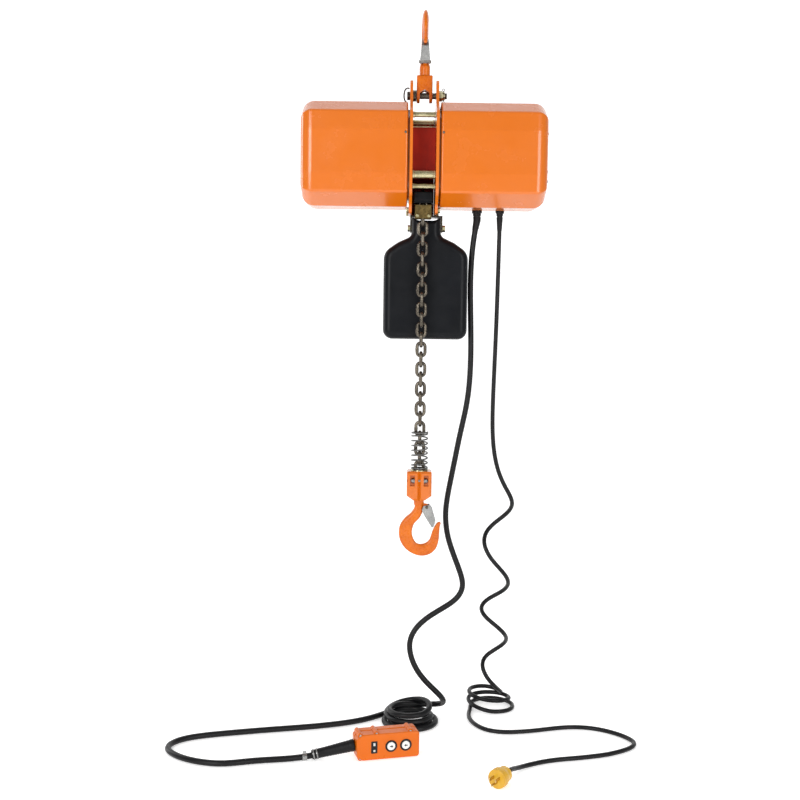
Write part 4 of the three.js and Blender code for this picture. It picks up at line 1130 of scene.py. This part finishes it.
# -------- plug
PLUG_YAW = -33.5
PLUG_FACE = (150, -350, FLOOR_Z + 19.3)
PLUG_PLACE = Matrix.Translation(Vector(PLUG_FACE) * MM) @ Matrix.Rotation(radians(PLUG_YAW), 4, "Z")
PLUG_PROFILE = [
    (17, 0.6), (17.6, 0), (18.6, 0.4), (19, 1.6), (19, 4), (18.3, 4.6), (18.3, 6), (19, 6.6), (19, 14.6),
    (18, 16.5), (16, 21), (15.5, 24), (15.5, 28), (14.6, 28.6), (14.6, 30), (15.2, 30.6), (15, 34),
    (12.5, 37.5), (8.6, 41), (8.2, 44), (5.6, 45),
]
GRIP_STEP = 20


def plug_body():
    """Round plug body with a ribbed grip and a tapered neck; its face looks towards -Y."""
    rib = block((-1.2, 8, 18.4), (1.2, 14, 19.3), 0.3)
    grip = [turned(rib, angle, "Y") for angle in range(0, 360, GRIP_STEP)]
    return merged(turned(lathe(PLUG_PROFILE, 48), -90, "X"), *grip)


def plug_blades():
    """Two flat blades and a round earth pin, with two clamp screws at the rear."""
    blades = [block((x, -17, 0), (x + 1.5, 2, 6.3), 0.5) for x in (-7.2, 5.7)]
    pin = along_y(lathe([(2.4, -2), (2.4, 17.5), (1.6, 19.6), (0.6, 20)], 20))
    screws = [moved(pan_screw(2.2), x, 31, 13.6) for x in (-4.6, 4.6)]
    return merged(*blades, moved(pin, z=-6), *screws)


plug = piece("plug_body", plug_body(), "cords", "yellow_plastic", ["power_plug"], place=PLUG_PLACE)
blades = piece("plug_blades", plug_blades(), "cords", place=PLUG_PLACE, look=BRASS)


# -------- floor and light
STAGE_HALF = 7
STAGE_FRONT = -6
STAGE_BACK = 3.2
STAGE_BEND = 1.5
STAGE_GLOW = 0.42
WORLD_GLOW = 0.42
PURE_WHITE = (1, 1, 1, 1)
# Each lamp, in metres: its place, what it points at, its width, height and power.
LAMPS = {
    "key": ((-1.6, -3.0, 0.1), (0, 0, -0.6), 1.3, 2.0, 60),
    "fill": ((1.8, -2.9, -0.2), (0, 0, -0.7), 1.3, 2.0, 44),
    "top": ((0.2, 0.4, 1.9), (0, 0, -0.5), 2.4, 1.6, 9),
    "edge_left": ((-2.2, 0.9, -0.2), (0, 0, -0.4), 0.5, 2.2, 20),
}


def add_stage():
    """A pale floor that curves up into a backdrop."""
    bend = np.linspace(0.1, pi / 2, 14)
    profile = [(STAGE_FRONT, 0), (STAGE_BACK, 0)]
    profile += [(STAGE_BACK + STAGE_BEND * sin(a), STAGE_BEND - STAGE_BEND * cos(a)) for a in bend]
    profile.append((STAGE_BACK + STAGE_BEND, STAGE_HALF))
    points = [(x, y, FLOOR_Z * MM + z) for y, z in profile for x in (-STAGE_HALF, STAGE_HALF)]
    faces = [(2 * i, 2 * i + 1, 2 * i + 3, 2 * i + 2) for i in range(len(profile) - 1)]
    mesh = bpy.data.meshes.new("studio_floor")
    mesh.from_pydata(points, [], faces)
    floor = added("studio_floor", mesh)
    mesh.shade_smooth()
    pale = bpy.data.materials.new("studio_white")
    pale.use_nodes = True
    shader = pale.node_tree.nodes["Principled BSDF"]
    set_inputs(shader, {"Base Color": PURE_WHITE, "Roughness": 0.7, "Emission Color": PURE_WHITE,
                        "Emission Strength": STAGE_GLOW})
    mesh.materials.append(pale)


def add_light(name, place, target, width, height, power):
    data = bpy.data.lights.new(name, "AREA")
    data.shape = "RECTANGLE"
    data.size, data.size_y = width, height
    data.energy = power
    lamp = added(name, data)
    lamp.location = place
    lamp.rotation_euler = (Vector(target) - Vector(place)).to_track_quat("-Z", "Y").to_euler()


def add_world():
    world = bpy.data.worlds.new("studio")
    world.use_nodes = True
    background = world.node_tree.nodes["Background"]
    set_inputs(background, {"Color": PURE_WHITE, "Strength": WORLD_GLOW})
    bpy.context.scene.world = world


add_stage()
add_world()
for lamp_name, lamp_settings in LAMPS.items():
    add_light(lamp_name, *lamp_settings)

scene = bpy.context.scene
scene.view_settings.view_transform = "Standard"
scene.view_settings.look = "None"
